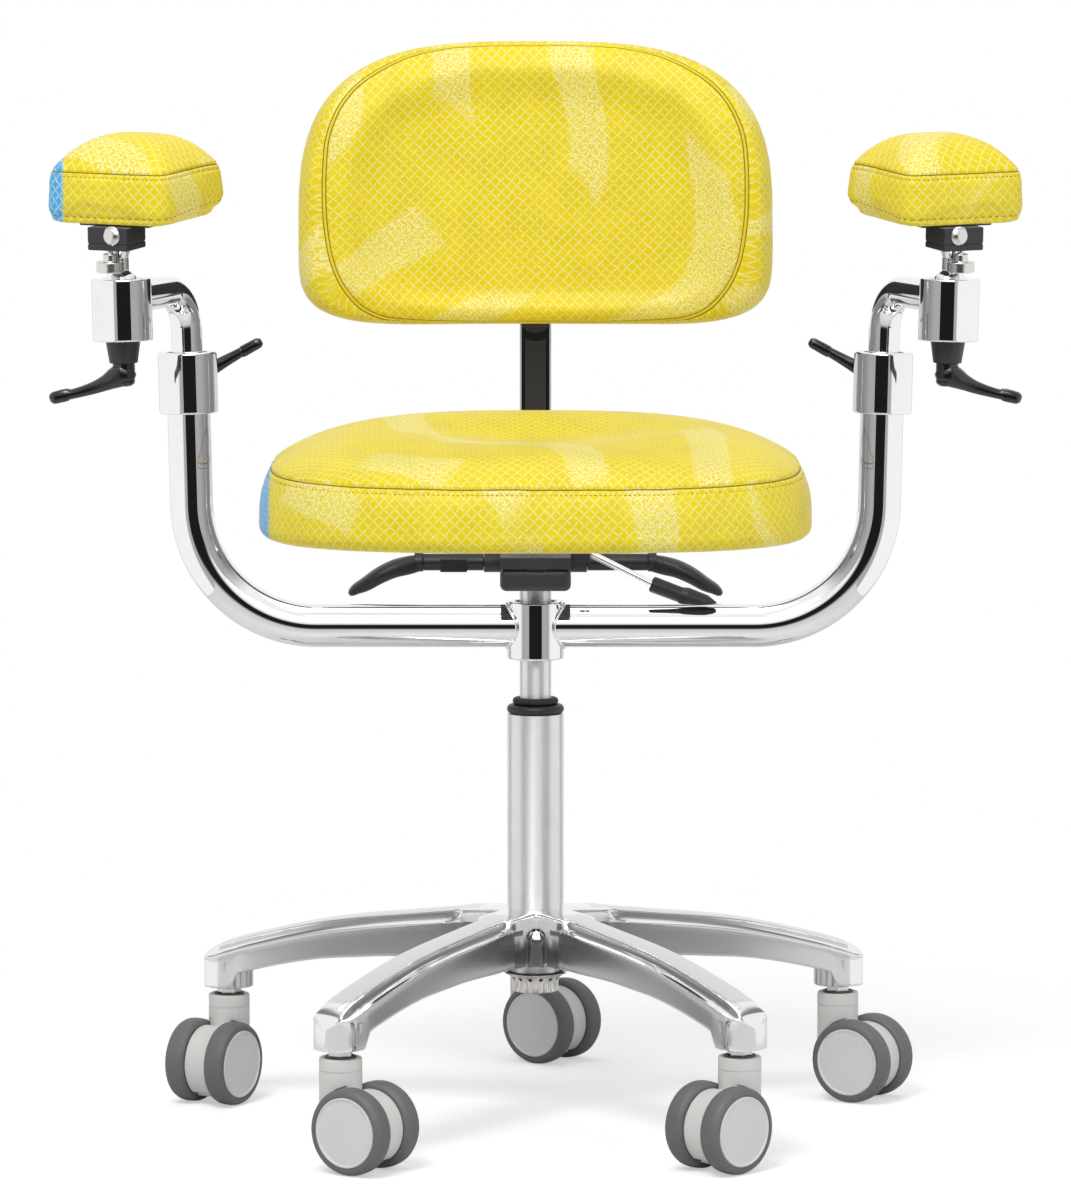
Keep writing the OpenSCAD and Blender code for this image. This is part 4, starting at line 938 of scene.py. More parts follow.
    def stitches(self, name: str, path: np.ndarray, pitch: float, length: float, radius: float, slant: float = 0.0
                 ) -> Piece:
        """A row of short threads along a settled path.

        Args:
            name: Name of the row.
            path: Places and normals along the surface.
            pitch: From one stitch to the next, in metres.
            length: Length of a stitch, in metres.
            radius: Radius of the thread, in metres.
            slant: How far a stitch turns from the path, in degrees.

        Returns:
            The row as one piece, in the cover's own frame.
        """
        closed = np.vstack([path, path[:1]])
        run = run_along(closed[:, :3])
        want = np.linspace(0, run[-1], int(run[-1] / pitch), endpoint=False)
        middle = sample(closed, run, want)
        ahead = sample(closed[:, :3], run, (want + pitch * 0.1) % run[-1])
        sides, stations = 6, ((-0.5, 0.35), (-0.36, 0.9), (0.0, 1.0), (0.36, 0.9), (0.5, 0.35))
        points, faces = [], []
        for place, towards in zip(middle, ahead):
            normal = Vector(place[3:]).normalized()
            along = (Vector(towards) - Vector(place[:3])).normalized()
            along.rotate(Matrix.Rotation(math.radians(slant), 3, normal))
            across = normal.cross(along)
            base = len(points)
            for t, r in stations:
                sink = -radius * 1.1 * (abs(t) * 2) ** 3
                for k in range(sides):
                    angle = 2 * math.pi * k / sides
                    points.append(Vector(place[:3]) + along * t * length + normal * (
                        sink + radius * r * math.sin(angle)) + across * radius * r * math.cos(angle))
            for i in range(len(stations) - 1):
                for k in range(sides):
                    a, b = base + i * sides + k, base + i * sides + (k + 1) % sides
                    faces.append((a, b, b + sides, a + sides))
            faces.append(tuple(base + k for k in reversed(range(sides))))
            faces.append(tuple(base + (len(stations) - 1) * sides + k for k in range(sides)))
        return Bench.smooth(Bench.tidy(Bench.from_points(name, points, (), faces), 1e-7), 60)

    def put(self, *pieces: Piece) -> None:
        """Puts finished pieces in their place on the chair."""
        for piece in pieces:
            move_to(piece, self.mapping(places_of(piece)))
            with Bench.editing(piece):
                bpy.ops.mesh.normals_make_consistent(inside=False)
            Bench.smooth(piece, 60)


@dataclass
class SeatForm:
    """Sizes of the seat's cushion, in millimetres."""

    half: float = 245.0
    front: float = 190.0
    rear: float = 192.0
    bottom: float = 521.0
    side: float = 63.0
    crown: float = 38.0
    dish: float = 20.0
    fall: float = 20.0
    hump: float = 6.0
    lean: float = 0.035
    board_inset: float = 42.0
    seam_inset: float = 10.0

    def outline(self, inset: float, count: int = 200) -> np.ndarray:
        """The outline drawn in by an inset."""
        raw = soft_outline(count * 4, self.half - inset, self.front - inset, self.rear - inset, 2.9, 2.7)
        return even_outline(raw, count)

    def seam_height(self, y: np.ndarray) -> np.ndarray:
        """Height of the seam at a place from front to rear."""
        return self.bottom + self.side + y * self.lean

    def rise(self, places: np.ndarray, share: float) -> np.ndarray:
        """Height of the top over the seam at places, for a share of the way out to the seam."""
        def bump(v: np.ndarray, middle: float, width: float) -> np.ndarray:
            """A round hump."""
            return np.exp(-((v - middle) / width) ** 2)

        x, y = places[:, 0], places[:, 1]
        hollow = self.dish * bump(x, 0, self.half * 0.6) * bump(y, 0, self.front * 0.33)
        hump = self.hump * bump(x, 0, self.half * 0.25)
        fall = (self.fall - hump) * bump(y, -self.front * 0.6, self.front * 0.37)
        return self.crown * (1 - share ** 4.2) - (1 - share ** 2) * (hollow + fall)

    def rings(self) -> Rings:
        """The rings of the closed form, from the recess for the board to the middle of the top."""
        levels = smooth_path([[13, 0], [5, 3.5], [1, 10], [0, 20], [2, 34.6], [6, 51.7], [10, 63]], 3)
        levels = np.vstack([[[self.board_inset, 9.6], [self.board_inset, 0], [26, -0.2]], levels])
        result = []
        for inset, height in levels:
            flat = self.outline(inset)
            tilt = max(0.0, height / self.side - 0.2) * 1.25
            z = self.bottom + height + tilt * flat[:, 1] * self.lean
            result.append(np.column_stack([flat, z]) * MM)
        base = self.outline(self.seam_inset)
        for share in (0.99, 0.97, 0.94, 0.90, 0.85, 0.79, 0.72, 0.64, 0.55, 0.45, 0.34, 0.22, 0.10, 0.03):
            flat = base * share
            z = self.seam_height(flat[:, 1]) + self.rise(flat, share)
            result.append(np.column_stack([flat, z]) * MM)
        return result


class Seat(Assembly):
    """The seat's cushion with its fold and its stitches."""

    def build(self) -> None:
        """Makes the cushion, its seam and its stitches."""
        form = SeatForm()
        cover = Cover(
            "seat_cover", form.rings(), voxel=0.005, cap=0.0025,
            still=lambda p: (p[:, 2] < (form.bottom + 14) * MM).astype(float),
            top_panel=lambda c: c[:, 2] > form.seam_height(c[:, 1] / MM) * MM - SEAM_MARGIN,
            outline=form.outline(0) * MM, depth_axis=2, mapping=lambda p: p)
        piece = cover.build()
        seam = form.outline(form.seam_inset - 0.5, 700)
        fold = cover.settle(np.column_stack([seam, form.seam_height(seam[:, 1]) + 0.5]) * MM, 0.0)
        low = form.outline(form.seam_inset - 3, 700)
        row = cover.settle(np.column_stack([low, form.seam_height(low[:, 1]) - 4.8]) * MM, 0.0)
        cover.refine(fold, 0.005)
        cover.groove(fold, depth=0.0020, width=0.0020)
        cover.groove(row, depth=0.0010, width=0.0020)
        cover.lay_print()
        # A dark line drawn in the fold's crease: painted shade.
        line = Bench.tube("seat_fold_shade_line", fold[:, :3] - fold[:, 3:] * 0.0016, 0.0006, True, 2)
        row[:, :3] -= row[:, 3:] * 0.0009
        thread = cover.stitches("seat_stitches", row, pitch=0.0042, length=0.0028, radius=0.00048)
        cover.put(piece, line, thread)
        self.add(piece, "seat", "vinyl_yellow", Finish.PRINT_SEAT, "seat_cushion")
        self.add(line, "seat", "vinyl_yellow", Finish.THREAD)
        self.add(thread, "seat", "vinyl_yellow", Finish.THREAD)


@dataclass
class BackForm:
    """Sizes of the backrest, in millimetres; it is made flat and then wrapped round the sitter."""

    width: float = 418.0
    low: float = 694.0
    height: float = 261.0
    thick: float = 48.0
    radius: float = 620.0
    front: float = 155.9
    rim: float = 9.0

    @property
    def middle(self) -> float:
        """Height of the outline's widest place."""
        return self.low + self.height * 0.34

    def outline(self, inset: float, count: int = 180) -> np.ndarray:
        """The outline drawn in by an inset, as x and height."""
        below = self.middle - self.low
        raw = soft_outline(count * 4, self.width / 2 - inset, below - inset, self.height - below - inset, 5, 3.05)
        return even_outline(raw, count) + [0, self.middle]

    def ring(self, inset: float, share: float, depth: float) -> np.ndarray:
        """A ring of the outline at a share of its size and a depth behind the front."""
        flat = (self.outline(inset) - [0, self.middle]) * share + [0, self.middle]
        return np.column_stack([flat[:, 0], np.full(len(flat), depth), flat[:, 1]]) * MM

    def wrap(self, places: np.ndarray) -> np.ndarray:
        """Bends places of the flat backrest round the sitter."""
        x, depth, z = places[:, 0], places[:, 1], places[:, 2]
        radius, front = self.radius * MM, self.front * MM
        angle = x / radius
        return np.column_stack([(radius + depth) * np.sin(angle), front - radius + (radius + depth) * np.cos(angle), z])

    def rings(self) -> Rings:
        """The closed form from the middle of the rear to the middle of the front."""
        edge = smooth_path([[14, 48], [5, 46], [0.5, 38], [0, 28], [0, 18], [2.2, 9]], 3)
        result = [self.ring(14, s, self.thick) for s in (0.05, 0.3, 0.55, 0.8, 0.93)]
        result += [self.ring(i, 1, d) for i, d in edge]
        shares = (0.975, 0.95, 0.925, 0.90, 0.87, 0.83, 0.78, 0.72, 0.65, 0.56, 0.46, 0.35, 0.22, 0.10, 0.03)
        for share in shares:
            crest = math.exp(-((share - 0.86) / 0.12) ** 2)
            deep = self.rim * (1 - crest) * (1 if share > 0.86 else 1.2)
            result.append(self.ring(0.8, share, deep))
        return result


class Back(Assembly):
    """The backrest: cushion with a piped seam, moulded shell, bar with its strip."""

    def build(self) -> None:
        """Makes the cushion, the piping, the shell behind it and the bar."""
        form = BackForm()
        cover = Cover(
            "back_cover", form.rings(), voxel=0.005, cap=0.0025,
            still=lambda p: (p[:, 1] > 0.044).astype(float), top_panel=self._inside,
            outline=form.outline(0) * MM, depth_axis=1, mapping=form.wrap)
        piece = cover.build()
        path = cover.settle(self._seam(), 0.0)
        cover.refine(path, 0.006)
        cover.groove(path, depth=0.0022, width=0.0026)
        cover.lay_print()
        path[:, :3] -= path[:, 3:] * 0.0019
        piping = Bench.tube("back_piping", path[:, :3] + path[:, 3:] * 0.0004, 0.0013, True, 4)
        step = np.roll(path[:, :3], -1, axis=0) - path[:, :3]
        across = np.cross(path[:, 3:], step)
        across /= np.maximum(np.linalg.norm(across, axis=1, keepdims=True), 1e-9)
        # Dark lines in the creases on both sides of the piping: painted shade.
        lines = [Bench.tube(f"back_piping_line_{label}", path[:, :3] + across * 0.0017 * side + path[:, 3:] * 0.0006,
                            0.00045, True, 2) for side, label in ((-1, "outer"), (1, "inner"))]
        piping_uv = piping.data.uv_layers.new(name="print")
        piping_uv.data.foreach_set("uv", np.zeros(len(piping.data.loops) * 2))
        cover.put(piece, piping, *lines)
        self.add(piece, "back", "vinyl_yellow", Finish.PRINT, "back_cushion")
        self.add(piping, "back", "vinyl_yellow", Finish.PRINT)
        for line in lines:
            self.add(line, "back", "vinyl_yellow", Finish.THREAD)
        self._shell(form)
        self._bar()

    SEAM = ((0, 9, 956), (60, 9, 955.5), (105, 7, 949), (128, 3, 941), (158.7, 0, 923.4), (175.3, 0, 905),
            (189, 0, 873.7), (193, 0, 842), (193.5, 0, 812.3), (191.6, 0, 783.3), (186, 0, 754.3),
            (173.5, 0, 729), (151, 0, 706.4), (120, 5, 696.5), (60, 9, 693.5), (0, 9, 693))

    @classmethod
    def _seam(cls) -> np.ndarray:
        """The seam's closed line: on the front at the sides, over the edge at top and bottom."""
        right = np.array(cls.SEAM, float)
        left = right[-2:0:-1] * [-1, 1, 1]
        whole = np.vstack([right, left])
        steps, before, after = 20, 2, 3
        fine = smooth_path(np.vstack([whole[-before:], whole, whole[:after]]), steps)
        return even_outline(fine[before * steps:-before * steps - 1], 700) * MM

    @classmethod
    def _inside(cls, centres: np.ndarray) -> np.ndarray:
        """Whether places are on the front panel, inside the seam."""
        seam = cls._seam() / MM
        right = seam[seam[:, 0] > 0]
        order = np.argsort(right[:, 2])
        reach = np.interp(centres[:, 2] / MM, right[order, 2], right[order, 0], left=0.0, right=0.0)
        return (np.abs(centres[:, 0]) / MM < reach) & (centres[:, 1] < 0.026)

    def _shell(self, form: BackForm) -> None:
        """The moulded shell behind the cushion."""
        start = form.thick + 0.9
        rings = [form.ring(20, s, start) for s in (0.05, 0.3, 0.55, 0.8, 0.95)]
        for inset, depth in smooth_path([[20, 0], [20.2, 2], [22, 4.6], [26, 6]], 3):
            rings.append(form.ring(inset, 1, start + depth))
        rings += [form.ring(26, s, start + 6) for s in (0.97, 0.93, 0.8, 0.55, 0.3, 0.05)]
        shell = Bench.loft("back_shell", rings)
        move_to(shell, form.wrap(places_of(shell)))
        self.add(Bench.smooth(Bench.tidy(shell), 40), "back", "board_black", Finish.BLACK_MOULDED, "back_board")

    def _bar(self) -> None:
        """The bent flat bar and the dark strip let into its front."""
        bend, thick, width = 34.5, 9.0, 30.0
        low, mid_y, top = 487.0, 218.5, 812.0
        path = [(y, low, 0.0) for y in (84.0, 100.0, 140.0, mid_y - bend)]
        path += [(mid_y - bend + bend * math.sin(a), low + bend * (1 - math.cos(a)), a)
                 for a in np.linspace(0.1, math.pi / 2, 14)]
        path += [(mid_y, z, math.pi / 2) for z in (540.0, 620.0, 700.0, 760.0, top - 1, top)]
        section = even_outline(soft_outline(240, width / 2, thick / 2, thick / 2, 9, 9), 48)
        rings = []
        for i, (y, z, angle) in enumerate(path):
            share = 0.93 if i in (0, len(path) - 1) else 1.0
            across = section * share
            rings.append(np.column_stack([across[:, 0], y - across[:, 1] * math.sin(angle),
                                          z + across[:, 1] * math.cos(angle)]) * MM)
        bar = Bench.smooth(Bench.loft("back_bar_steel", rings), 40)
        self.add(bar, "back_arm", "chrome", Finish.CHROME, "back_bar")
        strip_half, arc = 9.5, 20.0
        lows = [(x, 560.0) for x in np.linspace(-strip_half, strip_half, 13)]
        highs = [(x, 688.0 + arc - strip_half - math.sqrt(arc ** 2 - x ** 2)) for x in
                 np.linspace(strip_half, -strip_half, 13)]
        ring = np.array(lows + highs)
        centre = ring.mean(axis=0)
        rings = []
        for share, depth in ((1.0, 1.0), (1.0, 0.05), (0.985, -0.12), (0.5, -0.15), (0.05, -0.15)):
            flat = (ring - centre) * [share if share > 0.9 else share, share] + centre
            rings.append(np.column_stack([flat[:, 0], np.full(len(flat), 214.0 + depth), flat[:, 1]]) * MM)
        strip = Bench.smooth(Bench.loft("back_bar_strip", rings), 30)
        self.add(strip, "back_arm", "inlay_grey", Finish.BLACK_MOULDED, "back_bar_inlay")


# Yoke and arms

@dataclass
class ArmFrame:
    """Where one arm's parts stand; lengths in millimetres, side is 1 on the right and -1 on the left."""

    side: int
    foot_x: float = 303.9717
    foot_z: float = 547.5044
    splay: float = 1.3
    yaw: float = 24.0
    reach: float = 120.0
    arm_z: float = 190.5
    ball_z: float = 201.5
    pitch: float = 4.0
    roll: float = 2.4

    def upright(self) -> Matrix:
        """The frame at the foot of the upright."""
        mirror = Matrix.Diagonal((self.side, 1, 1, 1))
        return mirror @ shift(self.foot_x, 0, self.foot_z) @ turn(self.splay, "Y")

    def arm(self) -> Matrix:
        """The upright's frame turned to the arm's direction."""
        return self.upright() @ turn(self.yaw, "Z")

    def collar(self) -> Matrix:
        """The frame of the second collar."""
        return self.arm() @ shift(0, -self.reach, 0)

    def ball(self) -> Matrix:
        """The frame of the ball, tilted with the pad."""
        return self.collar() @ shift(0, 0, self.ball_z) @ turn(-self.roll, "Y") @ turn(self.pitch, "X")


@dataclass
class PadForm:
    """Sizes of an arm pad, in millimetres; the base and back place it over the ball."""

    half: float = 60.6
    length: float = 62.2
    side: float = 45.0
    crown: float = 28.0
    droop: float = 2.6
    seam_inset: float = 3.2
    base: float = 54.9
    back: float = 31.0

    def outline(self, inset: float, count: int = 120) -> np.ndarray:
        """The pad's outline drawn in by an inset."""
        return even_outline(soft_outline(
            count * 4, self.half - inset, self.length - inset, self.length - inset, 8.4, 8.4), count)

    def drop(self, y: np.ndarray) -> np.ndarray:
        """How far the pad's rear end hangs below a straight pad."""
        return -self.droop * np.maximum(0, (y - 5) / 57) ** 2

    def lift(self, y: np.ndarray) -> np.ndarray:
        """How far the lower edge rises towards the rear."""
        return 7.0 * np.clip((y + self.length) / (2 * self.length), 0, 1)

    def seam_height(self, y: np.ndarray) -> np.ndarray:
        """Height of the seam at a place from front to rear."""
        return self.side + self.drop(y)

    def rings(self) -> Rings:
        """The closed form, from the middle of the underside to the middle of the top."""
        levels = smooth_path([[9, 0], [3, 1.5], [0.6, 6], [0, 14], [1.0, 26], [1.8, 38], [3.0, 45]], 3)
        result = [np.column_stack([self.outline(9) * s, np.zeros(120)]) * MM for s in (0.05, 0.4, 0.8)]
        for inset, height in levels:
            flat = self.outline(inset)
            share = height / self.side
            edge = self.lift(flat[:, 1]) * (1 - share) * (inset < 8)
            result.append(np.column_stack([flat, height + self.drop(flat[:, 1]) * share + edge]) * MM)
        for share in (0.985, 0.95, 0.90, 0.84, 0.77, 0.68, 0.58, 0.46, 0.33, 0.2, 0.07):
            flat = self.outline(3.5) * share
            rise = self.crown * (1 - share ** 3.3) * (1 - 0.27 * (np.abs(flat[:, 1]) / self.length) ** 2)
            result.append(np.column_stack([flat, self.seam_height(flat[:, 1]) + rise]) * MM)
        return result


class Yoke(Assembly):
    """The bent tube with its sleeve and the two clamp collars."""

    def build(self) -> None:
        """Makes the tube, the sleeve, the weld beads and the collars."""
        level, bend, half = 440.0, 110.0, 304.0
        right = ArmFrame(1)
        lean = right.upright()
        path = [(0.0, 0.0, level * MM), ((half - bend) * MM, 0, level * MM)]
        for angle in np.linspace(3, 90 - right.splay, 40):
            a = math.radians(angle)
            path.append(((half - bend + bend * math.sin(a)) * MM, 0, (level + bend * (1 - math.cos(a))) * MM))
        path += [tuple(lean @ Vector((0, 0, h * MM))) for h in (30, 60, 84)]
        whole = [(-x, y, z) for x, y, z in reversed(path[1:])] + path[1:]
        parts = [Bench.tube("yoke_tube", whole, 19 * MM, False, 22)]
        sleeve = Bench.rounded([(18, 411), (25, 411), (25, 462), (18, 462)], 1.6)
        parts.append(Bench.turned("yoke_sleeve", sleeve, 96))
        for side in (1, -1):
            bead = []
            for angle in np.linspace(0, 2 * math.pi, 96, endpoint=False):
                y, z = 19.3 * math.cos(angle), 19.3 * math.sin(angle)
                bead.append((side * math.sqrt(25.2 ** 2 - y * y) * MM, y * MM, (level + z) * MM))
            parts.append(Bench.tube("yoke_bead", bead, 1.7 * MM, True, 5))
            collar = Bench.rounded([(18, 81.5), (26, 81.5), (26, 135.5), (18, 135.5)], 1.8)
            ring = Bench.turned("yoke_collar", collar, 96)
            parts.append(Bench.place(ring, ArmFrame(side).upright()))
        self.add(Bench.join("yoke_steel", parts), "yoke", "chrome", Finish.CHROME, "arm_yoke")


class Arm(Assembly):
    """One arm: bent tube with its collar, clamp levers, ball, block, screw and pad."""

    def __init__(self, paint: Paint, side: int) -> None:
        """Keeps the side.

        Args:
            paint: Gives out materials.
            side: 1 for the right arm, -1 for the left one.
        """
        super().__init__(paint)
        self.side = side
        self.name = "right" if side > 0 else "left"
        self.at = ArmFrame(side)

    def build(self) -> None:
        """Makes every piece of the arm."""
        self._tube()
        self._height_clamp()
        self._pad_clamp()
        self._ball()
        self._block()
        self._pad()

    def _tube(self) -> None:
        """The bent tube and the collar that holds the ball."""
        bend, high, reach = 36.0, self.at.arm_z, self.at.reach
        path = [(0, 0, 14), (0, 0, high - bend)]
        for angle in np.linspace(4, 90, 26):
            a = math.radians(angle)
            path.append((0, -bend * (1 - math.cos(a)), high - bend + bend * math.sin(a)))
        path.append((0, -reach + 20, high))
        metres = [(x * MM, y * MM, z * MM) for x, y, z in path]
        tube = Bench.tube(f"{self.name}_arm_bend", metres, 13.75 * MM, False, 18)
        Bench.place(tube, self.at.arm())
        outer = [(6.2, 153.5), (26, 153.5), (26, 207.5), (16.6, 207.5), (15.4, 203), (15.4, 190), (6.2, 180)]
        collar = Bench.turned(f"{self.name}_ball_collar", Bench.rounded(outer, 1.8), 96)
        Bench.place(collar, self.at.collar())
        joined = Bench.join(f"{self.name}_arm_steel", [tube, collar])
        self.add(joined, f"{self.name}_arm", "chrome", Finish.CHROME, f"{self.name}_arm_tube")

    def _height_clamp(self) -> None:
        """The lever that clamps the arm's height, behind the first collar."""
        hub = Bench.turned("hub", Bench.rounded([(0, 0), (8.2, 0), (8.2, 20), (0, 20)], 1.5))
        Bench.place(hub, shift(0, 26.3, 0) @ turn(-90, "X"))
        screw = Bench.turned("screw", [(0, 0), (3, 0), (3, 8.5), (0, 8.5)], 24)
        Bench.place(screw, shift(0, 18.3, 0) @ turn(-90, "X"))
        grip = Bench.handle("grip", [
            [-6, -2, 3, 3], [-4, -1.2, 7.0, 7.2], [2, 1, 7.6, 8.0], [10, 4.4, 6.4, 6.9], [20, 9.4, 5.3, 5.8],
            [32, 15.8, 4.4, 4.9], [43, 21.6, 3.8, 4.4], [46, 23.2, 3.7, 4.3], [47.2, 23.6, 4.3, 4.6],
            [56, 28.2, 4.2, 4.6], [61.5, 31.0, 3.9, 4.2], [64.2, 32.4, 2.2, 2.4]], 1.2)
        Bench.place(grip, shift(0, 38.5, 0) @ Matrix.Diagonal((-1, 1, 1, 1)))
        lever = Bench.join(f"{self.name}_height_lever", [hub, screw, grip])
        Bench.place(lever, self.at.upright() @ shift(0, 0, 108.5))
        self.add(lever, f"{self.name}_height_clamp", "gloss_black", Finish.BLACK_GLOSS, f"{self.name}_height_clamp")

    def _pad_clamp(self) -> None:
        """The cone and lever under the second collar."""
        cone = Bench.turned(f"{self.name}_clamp_cone", Bench.rounded(
            [(0, -19.3), (12.2, -19.3), (15, -0.3), (6, -0.3), (6, 24), (0, 24)], 0.7))
        hub = Bench.turned("hub", Bench.rounded(
            [(0, -39), (6, -39.6), (9.2, -37), (9.7, -30), (9.7, -18.8), (0, -18.8)], 1.2))
        grip = Bench.handle("grip", [
            [-8.0, 4, 2.5, 2.5], [-6.4, 3, 6.6, 6.6], [0, 0, 9.2, 9.2], [8, -3.6, 8.2, 8.4], [16, -7.6, 6.2, 6.8],
            [26, -11.6, 4.9, 5.6], [38, -15.0, 4.1, 5.0], [47.0, -17.0, 3.9, 4.8], [48.6, -17.0, 4.6, 5.0],
            [51.5, -17.6, 5.0, 5.2], [57, -18.8, 4.9, 5.2], [62.0, -20.0, 4.5, 4.8], [64.6, -20.8, 2.6, 2.9]], 1.14)
        Bench.place(grip, shift(0, 0, -28.5) @ turn(-self.at.yaw, "Z"))
        lever = Bench.join(f"{self.name}_pad_lever", [hub, grip])
        lift = self.at.collar() @ shift(0, 0, 153.5)
        Bench.place(lever, lift)
        Bench.place(cone, lift)
        self.add(cone, f"{self.name}_pad_clamp", "black_plastic", Finish.BLACK_MOULDED)
        self.add(lever, f"{self.name}_pad_clamp", "gloss_black", Finish.BLACK_GLOSS, f"{self.name}_pad_clamp")

    def _ball(self) -> None:
        """The ball, its neck and post."""
        ball = [(15 * math.cos(a), 15 * math.sin(a)) for a in np.linspace(-math.pi / 2, math.radians(60), 30)]
        ball[0] = (0, -15)
        ball += [(7.0, 13.6), (7.0, 24.2), (9.4, 32.0), (8, 32.3), (8, 50), (0, 50)]
        stud = Bench.turned(f"{self.name}_ball_and_neck", ball, 72, 40)
        Bench.place(stud, self.at.ball())
        self.add(stud, f"{self.name}_ball", "chrome", Finish.CHROME, f"{self.name}_ball_stud")

    def _block(self) -> None:
        """The moulded block under the pad, its plate, its domed screw and the thumb screw."""
        top = 32.5
        low = Bench.block("low", (-19.25, -24, top), (19.25, 11, top + 5.4), 1.2)
        high = Bench.block("high", (-19.25, -24, top + 5.8), (19.25, 11, top + 20), 1.2)
        core = Bench.block("core", (-18.6, -23.4, top + 2), (18.6, 10.4, top + 10), 0.5)
        plate = Bench.block("plate", (-33.6, -10.8, top + 19.5), (33.6, 64.8, top + 22), 0.8)
        block = Bench.join(f"{self.name}_block", [low, high, core, plate])
        Bench.place(block, self.at.ball())
        self.add(block, f"{self.name}_pad", "black_plastic", Finish.BLACK_MOULDED, f"{self.name}_pad_block")
        dome = Bench.turned(f"{self.name}_dome_screw", Bench.rounded(
            [(0, 4.6), (3.4, 4.3), (6.2, 3.1), (8.0, 1.2), (8.4, 0.2), (8.4, -1), (0, -1)], 0.6), 48)
        face = shift(-4.5, -24, top + 13) @ turn(90, "X")
        Bench.place(dome, self.at.ball() @ face)
        self.add(dome, f"{self.name}_pad", "bright_steel", Finish.BRIGHT)
        profile = [(0, -18.5), (12, -18.5), (12, -9.5), (6, -9.5), (6, -2.8), (3, -2.8), (3, 8), (0, 8)]
        screw = Bench.turned(f"{self.name}_thumb_wheel", Bench.rounded(profile, 0.8), 72)
        Bench.place(screw, self.at.ball() @ shift(0, -19.3, top))
        self.add(screw, f"{self.name}_thumb_screw", "bright_steel", Finish.BRIGHT, f"{self.name}_thumb_screw")

    def _pad(self) -> None:
        """The drooping pad with its fold and its two rows of stitches."""
        form = PadForm()
        hold = np.array(self.at.ball() @ shift(0, form.back, form.base))

        def mapping(points: np.ndarray) -> np.ndarray:
            """Puts places of the pad's own frame on the chair."""
            return points @ hold[:3, :3].T + hold[:3, 3]

        cover = Cover(
            f"{self.name}_pad_cover", form.rings(), voxel=0.0032, cap=0.002,
            still=lambda p: (p[:, 2] < 3 * MM).astype(float),
            top_panel=lambda c: c[:, 2] > form.seam_height(c[:, 1] / MM) * MM - SEAM_MARGIN,
            outline=form.outline(0) * MM, depth_axis=2, mapping=mapping)
        piece = cover.build()
        rim, hem = form.outline(form.seam_inset, 400), form.outline(0.3, 400)
        seam = form.seam_height(rim[:, 1])
        fold, high, low = (
            cover.settle(np.column_stack([flat, height]) * MM, 0.0, 2)
            for flat, height in ((rim, seam + 0.4), (rim, seam - 4.2), (hem, 5.5 + form.lift(rim[:, 1]))))
        cover.refine(fold, 0.0035)
        for path, depth, width in ((fold, 0.0015, 0.0015), (high, 0.0008, 0.0016), (low, 0.0008, 0.0018)):
            cover.groove(path, depth, width)
        cover.lay_print()
        # A dark line drawn in the fold's crease: painted shade.
        line = Bench.tube(f"{self.name}_pad_fold", fold[:, :3] - fold[:, 3:] * 0.0012, 0.0005, True, 2)
        for row in (high, low):
            row[:, :3] -= row[:, 3:] * 0.0007
        upper = cover.stitches(f"{self.name}_pad_stitches", high, pitch=0.0042, length=0.0028, radius=0.00042)
        lower = cover.stitches(f"{self.name}_pad_hem_stitches", low, pitch=0.0067, length=0.0048, radius=0.00045,
                               slant=14)
        cover.put(piece, line, upper, lower)
        finish = Finish.PRINT_PAD if self.side < 0 else Finish.PRINT
        self.add(piece, f"{self.name}_pad", "vinyl_yellow", finish, f"{self.name}_pad_cushion")
        for sewn in (line, upper, lower):
            self.add(sewn, f"{self.name}_pad", "vinyl_yellow", Finish.THREAD)


# Base and casters

